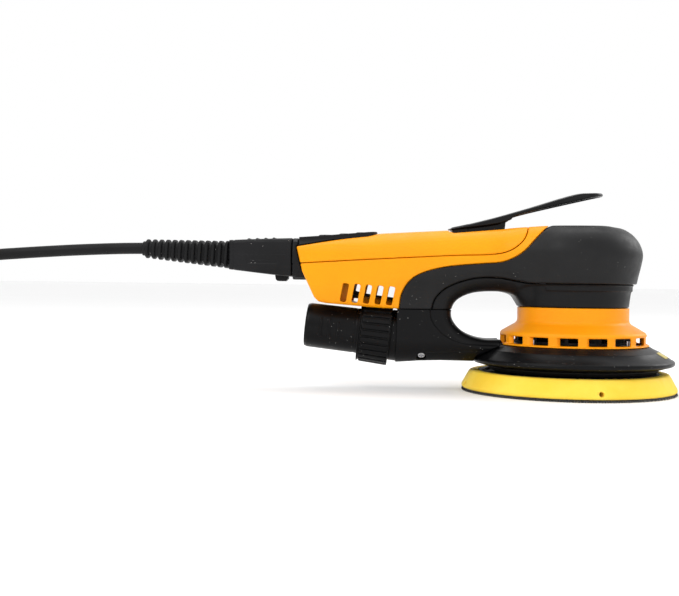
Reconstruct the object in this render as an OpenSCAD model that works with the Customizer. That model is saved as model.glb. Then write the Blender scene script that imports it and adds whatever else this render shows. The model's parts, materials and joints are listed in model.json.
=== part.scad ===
/* [Backing pad] */
// Diameter of the pad at its sanding face
pad_d = 125; // [122:0.5:125]
// Height of the foam and hook face together
pad_h = 12; // [10:0.5:12]
// Diameter of the circle that the pad's centre orbits on
orbit_d = 5; // [3:0.5:5]

/* [Motor head] */
// Largest radius of the rubber head
head_r = 40; // [39:0.5:41]
// Outer radius of the motor housing's neck
neck_r = 32.4; // [32:0.1:32.6]
// Radius of the dust shroud's lip
shroud_r = 58.5; // [56:0.5:59]

/* [Handle] */
// Wall of the handle's shells
wall = 2.6; // [2:0.1:3]
// Gap between neighbouring shells
seam = 0.2; // [0.1:0.05:0.3]
// Number of cooling slots on each side
slot_count = 5; // [3:1:5]

/* [Dust outlet] */
// Tilt of the outlet above the horizontal
outlet_tilt = 6.2; // [5.4:0.1:7]
// Outer radius of the swivel collar at its outer end
collar_r = 17.8; // [17:0.1:18.2]
// Bore radius of the hose nozzle
nozzle_bore_r = 11; // [10:0.5:11.5]
// Bore radius of the duct's outlet behind the nozzle
duct_bore_r = 12; // [11.6:0.1:12.4]

/* [Lever] */
// Angle that the lever swings down
lever_swing = 6; // [4:1:6]
// Half width of the lever's paddle
lever_half_w = 12.5; // [10:0.5:13]

/* [Mains lead] */
// Diameter of the cord
cord_d = 7; // [6:0.5:8]
// Diameter of the coil through the middle of its turns
coil_mean_d = 84; // [80:1:90]
// Turns side by side, and layers, in the coil
coil_rows = 4; // [3:1:4]

/* [Hidden] */

$fn = 96;
eps = 0.02;            // clearance of a pressed or seated fit
run_gap = 0.05;        // radial clearance of a turning fit
motor_x = orbit_d / 2; // the motor axis stands this far in front of the pad's centre
pad_r = pad_d / 2;

// ---- curves ------------------------------------------------------------------------------
function blend_point(a, b, c, d, t) =
  (2 * b + (c - a) * t + (2 * a - 5 * b + 4 * c - d) * t * t
   + (3 * b - a - 3 * c + d) * t * t * t) / 2;
// A smooth open curve through p, with n steps between neighbours
function smooth_line(p, n = 4) = let (last = len(p) - 1)
  [for (i = [0:last - 1], k = [0:n - 1])
     blend_point(p[max(i - 1, 0)], p[i], p[i + 1], p[min(i + 2, last)], k / n),
   p[last]];
// A smooth closed curve through p
function smooth_loop(p, n = 4) = let (m = len(p))
  [for (i = [0:m - 1], k = [0:n - 1])
     blend_point(p[(i + m - 1) % m], p[i], p[(i + 1) % m], p[(i + 2) % m], k / n)];
function left_of(a, b) = [a.y - b.y, b.x - a.x] / norm(b - a);
// The open curve p, moved d to its left
function beside(p, d) = let (last = len(p) - 1)
  [for (i = [0:last]) p[i] + d * left_of(p[max(i - 1, 0)], p[min(i + 1, last)])];
// The closed curve p, moved d to its left
function beside_loop(p, d) = let (m = len(p))
  [for (i = [0:m - 1]) p[i] + d * left_of(p[(i + m - 1) % m], p[(i + 1) % m])];
function arc(r, from, to, steps = 12) =
  [for (i = [0:steps]) let (a = from + (to - from) * i / steps) [r * cos(a), r * sin(a)]];
function mirrored(p) = concat(p, [for (i = [len(p) - 1:-1:0]) [-p[i].x, p[i].y]]);

// ---- placing -----------------------------------------------------------------------------
// Everything but the pad is drawn from the motor axis
module at_motor() { translate([motor_x, 0, 0]) children(); }
// A plate seen from the side: points are [x, z]
module side_plate(points, half_w = 60) {
  rotate([90, 0, 0]) linear_extrude(2 * half_w, center = true) polygon(points);
}
module plan_plate(points, low = -10, high = 140) {
  translate([0, 0, low]) linear_extrude(high - low) polygon(points);
}
module ring(outer, inner, low, high) {
  difference() {
    translate([0, 0, low]) cylinder(r = outer, h = high - low);
    translate([0, 0, low - 1]) cylinder(r = inner, h = high - low + 2);
  }
}
module disc(r, low, high) { translate([0, 0, low]) cylinder(r = r, h = high - low); }
module block(low, high) { translate(low) cube(high - low); }
// Along the outlet: +Z of the children points out of the nozzle
outlet_start = [-107.2, 0, 31.8];
module along_outlet() { translate(outlet_start) rotate([0, -90 + outlet_tilt, 0]) children(); }

// ---- handle outlines, [x, z] from the motor axis --------------------------------------------
handle_side = [
  [-164.6, 83.7], [-114.3, 92.9], [-75, 94.8], [-71.5, 92.8], [-40, 95.7], [-15, 96.9], [10, 97],
  [10, 50], [-28, 45], [-72.4, 30], [-104.4, 46.8], [-146, 50.4], [-150.5, 51.4], [-153.5, 54],
  [-160.9, 68.9]
];
// Half of the handle's cross section, [y, z] at the lever
handle_half_section = smooth_line([
  [0, 97.5], [8, 97.3], [14.5, 95], [20, 90.2], [23.6, 84], [24.4, 78], [22.8, 70.5],
  [19.3, 62], [17, 54], [16.2, 46], [16.2, 30]
], 3);
section_slope = 3.8; // the handle's top falls towards the cord
handle_half_plan = [[12, 26], [-50, 25], [-95, 24.5], [-130, 21.5], [-155, 19.5], [-170, 18.4]];
seam_line = smooth_line([
  [-175, 73.1], [-163, 73.7], [-130, 75.8], [-97, 77.7], [-70, 79.2], [-52, 79.8],
  [-42, 81.4], [-35, 85.5], [-30.5, 91.5], [-27.5, 103]
]);
grip_line = smooth_line([
  [-103.2, 40], [-103, 47.6], [-101.5, 57], [-96.4, 65], [-87.4, 69.9], [-73.8, 73],
  [-55.8, 74.7], [-45, 75.6], [-37.7, 78.3], [-32, 82.3], [-26.6, 88.3], [-21, 94],
  [-15, 98.5], [-8, 106]
]);
liner_line = smooth_line([
  [-84, 40], [-84, 47.4], [-81.5, 55], [-73.8, 61.5], [-60.3, 66], [-46.8, 66.6],
  [-32.3, 64.4], [-20, 63.5], [60, 63.5]
]);
finger_hole = smooth_loop([
  [-72.4, 46], [-69.5, 53], [-60, 57.7], [-46, 58.5], [-37.5, 56.4], [-33.2, 52], [-20, 46],
  [-20, 33], [-43, 30.6], [-55, 30.9], [-64.5, 34.4], [-70.5, 40]
]);
column_seam_z = 47.4;
housing_top_z = 49.8;

// ---- handle body, smaller by t all round ------------------------------------------------------
module handle_body(t = 0) {
  half_plan = [for (p = handle_half_plan) [p.y - t, p.x]];
  intersection() {
    side_plate(beside_loop(handle_side, -t));
    translate([-40, 0, 96]) rotate([0, -section_slope, 0]) translate([40, 0, -96])
      rotate([90, 0, 90]) linear_extrude(420, center = true)
        polygon(mirrored(beside(handle_half_section, -t)));
    rotate(90) mirror([0, 1, 0]) plan_plate(mirrored(half_plan));
  }
}
module handle_skin() {
  difference() {
    handle_body();
    handle_body(wall);
  }
}
// The parts of the side view that each shell fills
module above_seam() {
  side_plate(concat(beside(seam_line, seam / 2), [[-27, 140], [-180, 140]]));
}
module below_seam() {
  side_plate(concat(beside(seam_line, -seam / 2), [[40, 110], [40, 20], [-180, 20]]));
}
module left_of_grip() {
  side_plate(concat(beside(grip_line, seam / 2), [[-180, 110], [-180, 40]]));
}
module right_of_grip() {
  side_plate(concat(beside(grip_line, -seam / 2), [[80, 120], [80, 40]]));
}
module outside_liner() {
  side_plate(concat(beside(liner_line, seam / 2), [[60, 150], [-180, 150], [-180, 40]]));
}
module inside_liner() {
  side_plate(concat(beside(liner_line, -seam / 2), [[60, 40]]));
}
module above_column_seam() {
  block([-180, -60, column_seam_z + seam], [80, 60, 140]);
}

// ---- shells ----------------------------------------------------------------------------------
panel_half_w = 13;
panel_rear_x = -163.4;
lever_pocket = [[-73.6, -10.2], [-38, 10.2]];
module lever_axis() {
  translate([lever_pivot.x, 0, lever_pivot.y]) rotate([90, 0, 0]) children();
}
// Opening at the rear that the power inlet fills
module inlet_opening(top) {
  block([-180, -inlet_half_w - seam, 64], [-150, inlet_half_w + seam, top]);
}
module upper_cover() {
  color("gold") at_motor() difference() {
    union() {
      intersection() {
        handle_skin();
        above_seam();
      }
      // Ears that hold the lever's pin
      for (s = [-1, 1])
        block([-74.5, s > 0 ? 10.4 : -13.4, 86], [-66.5, s > 0 ? 13.4 : -10.4, 92.4]);
    }
    block([-170, -panel_half_w - seam, 80], [-116, panel_half_w + seam, 100]);
    block([lever_pocket[0].x, lever_pocket[0].y, 84], [lever_pocket[1].x, lever_pocket[1].y, 100]);
    inlet_opening(100);
    can_room();
    lever_axis() cylinder(r = lever_pin_r + eps, h = 40, center = true);
  }
}

slot_pitch = 6.7;
slot_size = [3.4, 10.4];
module cooling_slots() {
  for (i = [0:slot_count - 1])
    translate([-108 - i * slot_pitch, 0, 54.9 + i * 0.4]) rotate([0, 11, 0])
      block([-slot_size.x / 2, -40, -slot_size.y / 2], [slot_size.x / 2, 40, slot_size.y / 2]);
}
module handle_shell() {
  color("orange") at_motor() difference() {
    intersection() {
      union() {
        handle_skin();
        head_dome();
        collar_arch();
      }
      below_seam();
      left_of_grip();
      above_column_seam();
    }
    handle_body_inside_head();
    cooling_slots();
    inlet_opening(100);
    can_room();
    housing_screw_places() disc(housing_screw_r + eps, -2, 10);
    collar_room();
  }
}
// The collar turns in an arched recess in the handle's underside
module collar_room() { along_outlet() disc(collar_r + 1.2, duct_end - 0.6, 20.5); }
module collar_arch() {
  intersection() {
    handle_body();
    along_outlet() ring(collar_r + 2.8, collar_r + 1, -4, 22);
  }
}

// The dome's share of the yellow shell is hollow where the handle is
module handle_body_inside_head() {
  intersection() {
    handle_body(wall);
    disc(head_r + 1, 60, 120);
  }
}

// Radius and height of the rubber head, from the lip up
head_profile = smooth_line([
  [37.1, 63.7], [38.4, 69], [39.6, 76.7], [head_r, 83], [39, 87.6], [35.8, 91.4], [30.8, 94.9],
  [24.6, 96.8], [18, 97]
]);
can_r = 33.8;
can_top = 93.6;
// Space that the shells leave for the stator can
module can_room() {
  rotate_extrude() polygon([
    [0, 60], [can_r + seam, 60], [can_r + seam, 84.2], [26.8, can_top + seam], [0, can_top + seam]
  ]);
}
module head_dome() {
  rotate_extrude() polygon(concat(head_profile, [[0, 97], [0, 63.7]]));
}
module rubber_grip() {
  color([0.16, 0.16, 0.17]) at_motor() difference() {
    union() {
      intersection() {
        difference() {
          handle_body();
          handle_body(wall + 0.6);
        }
        right_of_grip();
        outside_liner();
        above_column_seam();
      }
      intersection() {
        difference() {
          head_dome();
          handle_body(wall + 0.6);
        }
        right_of_grip();
        outside_liner();
      }
    }
    can_room();
    side_plate(finger_hole);
  }
}

module inner_housing() {
  color([0.1, 0.1, 0.11]) at_motor() difference() {
    union() {
      // Band under the rubber head, and the can that holds the stator
      rotate_extrude() polygon([
        [31, housing_top_z + seam], [neck_r + 0.3, housing_top_z + seam], [35.2, 63.5],
        [can_r, 63.5], [can_r, 84], [26.5, can_top], [0, can_top], [0, 91.1],
        [bearing_r + eps, 91.1], [bearing_r + eps, 84], [14, 84], [14, 88.6], [25.5, 88.6],
        [31, 83]
      ]);
      finger_liner();
    }
    // Way in for the leads
    block([-40, -8, 66.5], [-20, 8, 82]);
  }
}
finger_rim = beside_loop(finger_hole, 2.4);
module finger_liner() {
  difference() {
    intersection() {
      handle_body(0.4);
      inside_liner();
      above_column_seam();
    }
    difference() {
      handle_body(wall + 0.4);
      side_plate(finger_rim);
    }
    side_plate(finger_hole);
    disc(31, 40, 70);
    disc(neck_r + 0.3, 40, housing_top_z + seam);
  }
}

lip_z = 18.3;
module dust_shroud() {
  color([0.08, 0.08, 0.09]) at_motor() difference() {
    rotate_extrude() polygon(concat(
      [[8, 27.6], [44, 27.6], [46, 26.4]],
      [for (a = [60:-30:-90]) [shroud_r - 1.7 + 1.7 * cos(a), lip_z + 1.7 * sin(a)]],
      [[52, 15], [50, 14.6], [50, 16.4], [54.5, 17.8], [42.6, 25.2], [8, 25.2]]
    ));
    // Mouth of the exhaust channel
    block([-70, -channel_half_w, channel_low], [-30, channel_half_w, channel_high]);
    bolt_circle(4, boss_circle_r, 45) disc(shroud_screw_r + eps, 20, 30);
    tab_shape(eps);
  }
}
module bolt_circle(count, r, first = 0) {
  for (i = [0:count - 1]) rotate(first + 360 / count * i) translate([r, 0, 0]) children();
}
// Small marker let into the shroud's slope
module tab_shape(grow = 0) {
  rotate(tab_angle) translate([51.8, 0, 23.1]) rotate([0, 29.6, 0])
    block([-3 - grow, -4 - grow, -0.6 - grow], [3 + grow, 4 + grow, 0.45]);
}
tab_angle = -24;
module shroud_tab() { color("khaki") at_motor() tab_shape(); }
module brake_seal() {
  color([0.05, 0.05, 0.05]) at_motor()
    rotate_extrude() polygon([[46, pad_h + 0.5], [48.5, pad_h + 0.5], [49.8, 14.4], [49.8, 17.2],
                              [47.5, 17.2], [47.5, 14.4]]);
}

channel_half_w = 12;
channel_low = 18.6;
channel_high = 24.6;
module duct_outer(t = 0) {
  half_w = 16.4 - t;
  intersection() {
    side_plate([[-112, column_seam_z], [-20, column_seam_z], [-20, 16.6 + t], [-91, 16.6 + t],
                [-112, 14.6 + t]]);
    rotate([90, 0, 90]) linear_extrude(260, center = true) polygon(concat(
      [[-half_w, 60]], [for (p = arc(half_w, 180, 360, 24)) p + [0, 15.2 + 16.4]], [[half_w, 60]]));
  }
}
module exhaust_duct() {
  color([0.07, 0.07, 0.08]) at_motor() difference() {
    union() {
      difference() {
        duct_outer();
        side_plate(finger_hole);
        along_outlet() ring(40, 15, duct_end, 40);
        intersection() {
          duct_outer(1.8);
          block([-100, -channel_half_w, channel_low], [-30, channel_half_w, channel_high]);
        }
        // Hollow column behind the finger hole
        intersection() {
          duct_outer(wall);
          difference() {
            block([-103, -20, 31.5], [-40, 20, 60]);
            side_plate(finger_rim);
          }
        }
      }
      intersection() {
        duct_outer();
        duct_screw_places() disc(3.2, 0, 6);
      }
      along_outlet() ring(14.9, duct_bore_r, duct_end - 1, 12);
      along_outlet() ring(collar_r - 0.9, 14, duct_end - 0.1, 0.6);
    }
    along_outlet() disc(duct_bore_r, -8, 14);
    intersection() {
      block([-100.2, -channel_half_w, channel_low + 0.3], [-80, channel_half_w, 38]);
      along_outlet() disc(duct_bore_r, -40, 14);
    }
    rotate_extrude() polygon([[0, 60], [44.4, 60], [44.4, 27.8], [46.2, 26.6],
                              [shroud_r + 0.3, 19.8], [shroud_r + 0.3, 10], [0, 10]]);
    duct_screw_places() {
      disc(duct_screw_r + eps, 0, 6.5);
      disc(2.9, -3, 1.6);
    }
  }
}
duct_end = -2.2;  // where the duct's end face crosses the outlet's axis
duct_screw_r = 1.4;
// +Z of the children goes into the duct from its rounded underside
module duct_screw_places() {
  for (s = [-1, 1]) translate([-89.5, s * 11.2, 19.5]) rotate([s * 43, 0, 0]) children();
}

window_count = 16;
boss_circle_r = 37.6;
shroud_screw_r = 1.2;
module motor_housing() {
  color([1, 0.62, 0.05]) at_motor() difference() {
    union() {
      bolt_circle(4, boss_circle_r, 45) disc(2.6, 27.7, 33.4);
      rotate_extrude() polygon([
        [40, 27.7], [44, 27.7], [44, 28.4], [42.5, 28.8], [42.5, 34.6], [neck_r, 40.7],
        [neck_r, housing_top_z], [29.4, housing_top_z], [29.4, 40], [39.9, 34.2], [40, 33]
      ]);
    }
    bolt_circle(4, boss_circle_r, 45) disc(shroud_screw_r + eps, 20, 32);
    bolt_circle(window_count, 42, 11.25) block([-5, -5.7, 28.9], [5, 5.7, 32.9]);
  }
}

// ---- power inlet and controls ------------------------------------------------------------------
inlet_face_x = -167.4;
inlet_half_w = 13.4;
spigot = [[-167.6, -11.4, 69], [-157, 11.4, 83]];
pin_spacing = 7;
module power_inlet() {
  color([0.1, 0.1, 0.11]) at_motor() difference() {
    union() {
      intersection() {
        handle_body_rear();
        side_plate([[inlet_face_x, 64], [inlet_face_x, 88.9], [-163.8, 88.9], [-163.8, 84.1],
                    [-165, 83.8], [-161.3, 68.8], [-159, 64]]);
      }
      block([-164.5, -inlet_half_w, 65.2], [-153.5, inlet_half_w, 84]);
    }
    block([-170, spigot[0].y - 0.2, spigot[0].z - 0.2],
          [spigot[1].x, spigot[1].y + 0.2, spigot[1].z + 0.2]);
    inlet_pin_places() cylinder(r = inlet_pin_r + eps, h = 20);
  }
}
// The rear block of the handle, as tall as the connector
module handle_body_rear() {
  rotate([90, 0, 90]) linear_extrude(360, center = true)
    polygon(mirrored([[0, 89.2], [9, 88.9], [13.5, 86.5], [15, 81], [14.6, 73], [12.5, 66.5],
                      [9, 64], [0, 63.8]]));
}
inlet_pin_r = 1.5;
module inlet_pin_places() {
  for (i = [-1:1])
    translate([-164.8, i * pin_spacing, 76]) rotate([0, 90, 0]) children();
}
module inlet_pins() {
  color("gold") at_motor() inlet_pin_places() cylinder(r = inlet_pin_r, h = 11);
}
module control_panel() {
  color([0.09, 0.09, 0.1]) at_motor() difference() {
    union() {
      // Crown that stands above the yellow edges
      intersection() {
        panel_section();
        side_plate([[-117, 93.3], [-150.9, 90.1], [panel_rear_x, 89.2],
                    [panel_rear_x, 84.3], [-117, 92.7]]);
      }
      // Plate let into the cover
      intersection() {
        side_plate([[-116.4, 93.1], [-150.9, 90.1], [panel_rear_x, 89.2],
                    [panel_rear_x, 85.7], [-150.9, 87], [-116.4, 89.6]]);
        block([-180, -panel_half_w, 60], [-60, panel_half_w, 120]);
      }
    }
    for (p = button_places) translate([p.x, 0, 80]) cylinder(r = p.y + 0.3, h = 20);
    translate([lens_x, 0, 80]) cylinder(r = 1.2 + eps, h = 20);
  }
}
module panel_section() {
  translate([-150, 0, 90]) rotate([0, -section_slope, 0]) rotate([90, 0, 90])
    linear_extrude(120, center = true) polygon(mirrored([[0, 0.6], [8, 0.3], [12.5, -1.4],
                                                         [15.4, -4.5], [16.6, -9]]));
}
button_travel = 0.8;
// x, radius and top of the power, speed up and speed down buttons
button_places = [[-147, 4.6, 91.2], [-135.5, 3.8, 92.1], [-125.5, 3.8, 92.9]];
lens_x = -155.5;
board_top = 83;
module button(p) {
  color([0.15, 0.15, 0.16]) at_motor() translate([p.x, 0, 0]) {
    disc(p.y, p.z - 4.5, p.z);
    disc(1.6, board_top + button_travel + 0.1, p.z - 4);
  }
}
module power_button() { button(button_places[0]); }
module speed_up_button() { button(button_places[1]); }
module speed_down_button() { button(button_places[2]); }
module status_lens() { color("lime") at_motor() translate([lens_x, 0, 0]) disc(1.2, 86.9, 90.4); }
module button_board() {
  color("darkgreen") at_motor() block([-152.5, -11, board_top - 1.6], [-119, 11, board_top]);
}

// ---- lever --------------------------------------------------------------------------------------
lever_pivot = [-70, 90.2];
lever_pin_r = 1.5;
lever_top = smooth_line([[-74.2, 95.4], [-52, 101], [-28.7, 107.8], [-2.6, 115.9], [8, 117.2],
                         [16.4, 117]], 3);
lever_under = smooth_line([[16.4, 115.2], [6, 113.4], [-32.4, 104], [-39, 100.4], [-50, 97.6],
                           [-72, 94.9]], 3);
module lever() {
  color([0.08, 0.08, 0.09]) at_motor() difference() {
    union() {
      intersection() {
        side_plate(concat(lever_top, lever_under));
        plan_plate(concat(arc_end(), [[-74.5, 10], [-74.5, -10]]));
      }
      // Skirt and post under the paddle
      side_plate([[-66, 97], [-52, 100.5], [-38.8, 103.2], [-40.4, 92.2], [-45, 91.6], [-66, 91]], 7.5);
      side_plate([[-72.4, 96], [-63, 98], [-63, 91], [-67, 87.4], [-72, 87.4]], 8.4);
    }
    lever_axis() cylinder(r = lever_pin_r + run_gap, h = 40, center = true);
    translate([spring_x, 0, 90]) cylinder(r = 4, h = 6);
  }
}
function arc_end() = [for (p = arc(lever_half_w, -90, 90, 16)) p + [16.4 - lever_half_w, 0]];
module lever_pin() {
  color("silver") at_motor() lever_axis() cylinder(r = lever_pin_r, h = 26, center = true);
}
spring_x = -57;
spring_r = 2.8;
spring_wire_r = 0.45;
spring_low = 83.1;
spring_high = 95.4;
spring_turns = 6;
function coil_point(t) = [
  spring_x + spring_r * cos(360 * spring_turns * t), spring_r * sin(360 * spring_turns * t),
  spring_low + (spring_high - spring_low) * t
];
module lever_spring() {
  color("silver") at_motor()
    swept_tube([for (i = [0:spring_turns * 12]) coil_point(i / spring_turns / 12)],
               spring_wire_r, 6);
}
module switch_bracket() {
  color([0.2, 0.2, 0.22]) at_motor() difference() {
    union() {
      block([-64, -9, 80.6], [-36, 9, 82.6]);
      for (s = [-1, 1]) translate([-60, s * 7.2, 82.6]) cylinder(r = 1.6, h = 2.6);
    }
    block([-51, -3.4, 80], [-38, 3.4, 84]);
  }
}
module lever_switch() {
  color([0.15, 0.15, 0.2]) at_motor() {
    block([-50.8, -3.2, 76], [-38.2, 3.2, 86]);
    translate([-43, 0, 86]) cylinder(r = 1.2, h = 1.9);
  }
}

// ---- electronics ----------------------------------------------------------------------------------
module motor_board() {
  color("darkgreen") at_motor() block([-146, -14, 65.4], [-86, 14, 67]);
}
module capacitors() {
  color("navy") at_motor() for (x = [-137, -120]) {
    translate([x, 0, 74.6]) rotate([90, 0, 0]) cylinder(r = 6.8, h = 24, center = true);
    block([x - 2, -9, 67], [x + 2, 9, 70]);
  }
}
module motor_leads() {
  for (i = [-1:1])
    color(["brown", "black", "dimgray"][i + 1]) at_motor()
      swept_tube(smooth_line([[-86.5, i * 5, 67.8], [-78, i * 5, 70.5], [-66, i * 4.6, 72],
                              [-52, i * 4.4, 72.2], [-40, i * 4.2, 73], [-32.4, i * 4, 74]], 2),
                 1, 8);
}
module hall_board() {
  color("darkgreen") at_motor() {
    ring(30, 19, 51.4, 53);
    bolt_circle(3, 22) block([-1.5, -2, 53], [1.5, 2, 54.2]);
  }
}

// ---- motor ------------------------------------------------------------------------------------------
rotor_shaft_r = 4;
bearing_r = 11;
stator_low = 58;
stator_high = 80;
tooth_count = 12;
module stator_core() {
  color("gray") at_motor() {
    ring(30.9, 27, stator_low, stator_high);
    bolt_circle(tooth_count, 0) {
      block([18.6, -2.5, stator_low], [27.6, 2.5, stator_high]);
      intersection() {
        ring(19.4, 17.4, stator_low, stator_high);
        block([15, -4.2, stator_low], [22, 4.2, stator_high]);
      }
    }
  }
}
module stator_windings() {
  color("peru") at_motor() bolt_circle(tooth_count, 0) difference() {
    block([19.8, -4.5, stator_low - 2.4], [26.4, 4.5, stator_high + 2.4]);
    block([19, -2.6, stator_low - 0.1], [28, 2.6, stator_high + 0.1]);
  }
}
module rotor_core() {
  color("dimgray") at_motor() ring(14, rotor_shaft_r + eps, stator_low, stator_high);
}
module rotor_magnets() {
  color("lightgray") at_motor() difference() {
    ring(16.8, 14 + eps, stator_low, stator_high);
    for (a = [22.5:45:179]) rotate(a) block([-20, -0.3, 50], [20, 0.3, 90]);
  }
}
module rotor_shaft() { color("silver") at_motor() disc(rotor_shaft_r, shaft_low, 90.9); }
shaft_low = 24.9;
// Shielded ball bearing, its shields set back from the races
module ball_bearing(outer, inner, low, high) {
  race = (outer - inner) * 0.22;
  inset = 0.5;
  rotate_extrude() polygon([
    [inner, low], [inner + race, low], [inner + race, low + inset], [outer - race, low + inset],
    [outer - race, low], [outer, low], [outer, high], [outer - race, high],
    [outer - race, high - inset], [inner + race, high - inset], [inner + race, high], [inner, high]
  ]);
}
module upper_bearing() { color("silver") at_motor() ball_bearing(bearing_r, rotor_shaft_r + eps, 84.1, 91); }
module lower_bearing() { color("silver") at_motor() ball_bearing(bearing_r, rotor_shaft_r + eps, 41.2, 48); }
module bearing_bridge() {
  color("lightgray") at_motor() difference() {
    union() {
      disc(29.3, 44, 47);
      disc(15, 39.4, 48.2);
    }
    disc(bearing_r + eps, 41.1, 50);
    disc(7, 30, 50);
    bolt_circle(6, 22) disc(4.5, 40, 50);
  }
}
module cooling_fan() {
  color([0.15, 0.15, 0.15]) at_motor() {
    ring(9, rotor_shaft_r + eps, 28.8, 38.4);
    ring(34, 8.9, 28.8, 30.2);
    bolt_circle(11, 0) intersection() {
      translate([23, 9, 0]) ring(17, 15.8, 30.1, 35.2);
      block([8.9, -16, 30], [36, 9, 36]);
      disc(33.4, 30, 36);
    }
  }
}
spindle_bearing_r = 13;
spindle_r = 5;
stud_r = 3;
module counterweight() {
  color("dimgray") {
    difference() {
      union() {
        disc(16, 13.6, 24.8);
        at_motor() disc(7.4, 24, 28.6);
        // Weight opposite the eccentric bore
        at_motor() intersection() {
          ring(31, 12.6, 19, 24.6);
          side_plate([[8, 0], [40, 0], [40, 40], [8, 40]], 26);
        }
      }
      disc(spindle_bearing_r + eps, 10, 23);
      at_motor() disc(rotor_shaft_r + eps, shaft_low - 0.1, 40);
    }
  }
}
module spindle_bearings() {
  color("silver") {
    ball_bearing(spindle_bearing_r, spindle_r + eps, 13.8, 18.2);
    ball_bearing(spindle_bearing_r, spindle_r + eps, 18.4, 22.8);
  }
}

// ---- pad ------------------------------------------------------------------------------------------
plate_r = 52;
plate_low = 8;
// Radius, diameter, number and first angle of each ring of dust holes
hole_rings = [[46.2, 9.7, 8, 0], [33.4, 9.7, 8, 22.5], [48.2, 5.5, 8, 22.5], [25.8, 4, 4, 45]];
pad_phase = -3.4;
module dust_holes(rings) {
  rotate(pad_phase) for (h = rings)
    bolt_circle(h[2], h[0], h[3]) translate([0, 0, -5]) cylinder(r = h[1] / 2, h = 40, $fn = 48);
}
module spindle() {
  color("silver") difference() {
    union() {
      disc(spindle_r, 8, 22.7);
      disc(8, 12.4, 13.5);
    }
    disc(stud_r + eps, 4, 18);
  }
}
module pad_plate() {
  color([0.2, 0.2, 0.2]) difference() {
    union() {
      disc(plate_r, plate_low + eps, 10.6);
      disc(14, 5.5, 12.2);
      ring(plate_r, plate_r - 3, 10, pad_h);
      bolt_circle(8, 0) block([13, -1.2, 10], [49.5, 1.2, 11.8]);
    }
    disc(spindle_r + eps, 8, 20);
    disc(stud_r + eps, 0, 20);
    translate([0, 0, 5]) cylinder(r = 6.2 + eps, h = 2.6 + eps, $fn = 6);
    dust_holes([hole_rings[0], hole_rings[1]]);
  }
}
module pad_foam() {
  color([1, 0.86, 0.3]) difference() {
    rotate_extrude() polygon([
      [0, 1], [pad_r - 0.8, 1], [pad_r, 2], [pad_r, 2.8], [pad_r - 4.4, 11.2], [pad_r - 5.4, pad_h],
      [plate_r + 0.1, pad_h], [plate_r + 0.1, plate_low], [14.2, plate_low], [14.2, 5.4], [0, 5.4]
    ]);
    dust_holes(hole_rings);
    rotate(pad_phase) star(4);
    for (a = [pad_phase + 11.1 : 90 : pad_phase + 281.1])
      rotate(a) translate([40, 0, 4.6]) rotate([0, 90, 0]) cylinder(r = 1.1, h = 40);
  }
}
// Recess at the pad's centre, four arms across a round middle
module star(high) {
  disc(5.8, -1, high);
  for (a = [0, 90]) rotate(a) {
    block([-12, -1.9, -1], [12, 1.9, high]);
    for (s = [-1, 1]) translate([s * 12, 0, 0]) disc(1.9, -1, high);
  }
}
module hook_face() {
  color([0.12, 0.12, 0.12]) difference() {
    disc(pad_r - 0.4, 0, 1);
    dust_holes(hole_rings);
    rotate(pad_phase) star(3);
  }
}
// Threaded stud moulded into the plate, which screws into the spindle
module pad_stud() {
  color("silver") {
    disc(stud_r, 7, 17);
    translate([0, 0, 5.6]) cylinder(r = 6.2, h = 2, $fn = 6);
  }
}

// ---- dust outlet -------------------------------------------------------------------------------------
nozzle_r = 13.3;
nozzle_end = 51.5;
collar_ribs = 30;
collar_low = 0.9;
collar_high = 19.7;
module collar_cone(inset) {
  translate([0, 0, collar_low])
    cylinder(r1 = collar_r + 0.8 - inset, r2 = collar_r - inset, h = collar_high - collar_low);
}
module swivel_collar() {
  color([0.1, 0.1, 0.11]) at_motor() along_outlet() difference() {
    union() {
      collar_cone(0.7);
      intersection() {
        collar_cone(0);
        bolt_circle(collar_ribs, collar_r - 1.5)
          block([0, -1.3, collar_low + 0.7], [4, 1.3, collar_high - 0.8]);
      }
    }
    disc(15, -1, 17.4);
    disc(nozzle_r + run_gap, 0, 30);
  }
}
module hose_nozzle() {
  color([0.1, 0.1, 0.11]) at_motor() along_outlet() difference() {
    union() {
      disc(14.9, 12.2, 14.4);
      disc(nozzle_r, 12.2, nozzle_end);
    }
    disc(nozzle_bore_r, 0, 60);
  }
}
module nozzle_seal() {
  color("black") at_motor() along_outlet() translate([0, 0, 15.9])
    rotate_extrude() translate([nozzle_r + 0.8, 0]) circle(r = 0.75, $fn = 32);
}

// ---- fasteners -----------------------------------------------------------------------------------------
module cross_head_screw(r, head_r, length) {
  difference() {
    union() {
      disc(r, 1.4, length);
      disc(head_r, 0, 1.5);
    }
    for (a = [0, 90]) rotate(a) block([-head_r * 0.6, -0.35, -1], [head_r * 0.6, 0.35, 0.7]);
  }
}
module duct_screws() {
  color("silver") at_motor() duct_screw_places() {
    disc(2.2, 0.3, 1.55);
    disc(duct_screw_r, 1.5, 6);
  }
}
module shroud_screws() {
  color("silver") at_motor() bolt_circle(4, boss_circle_r, 45) {
    disc(shroud_screw_r, 25, 31.5);
    disc(2.4, 23.6, 25.18);
  }
}
housing_screw_r = 2.4;
module housing_screw_places() {
  for (s = [-1, 1]) translate([-141, s * 8, 50.6]) children();
}
module housing_screws() {
  color("silver") at_motor() housing_screw_places()
    cross_head_screw(1.2, housing_screw_r, 8);
}

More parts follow.
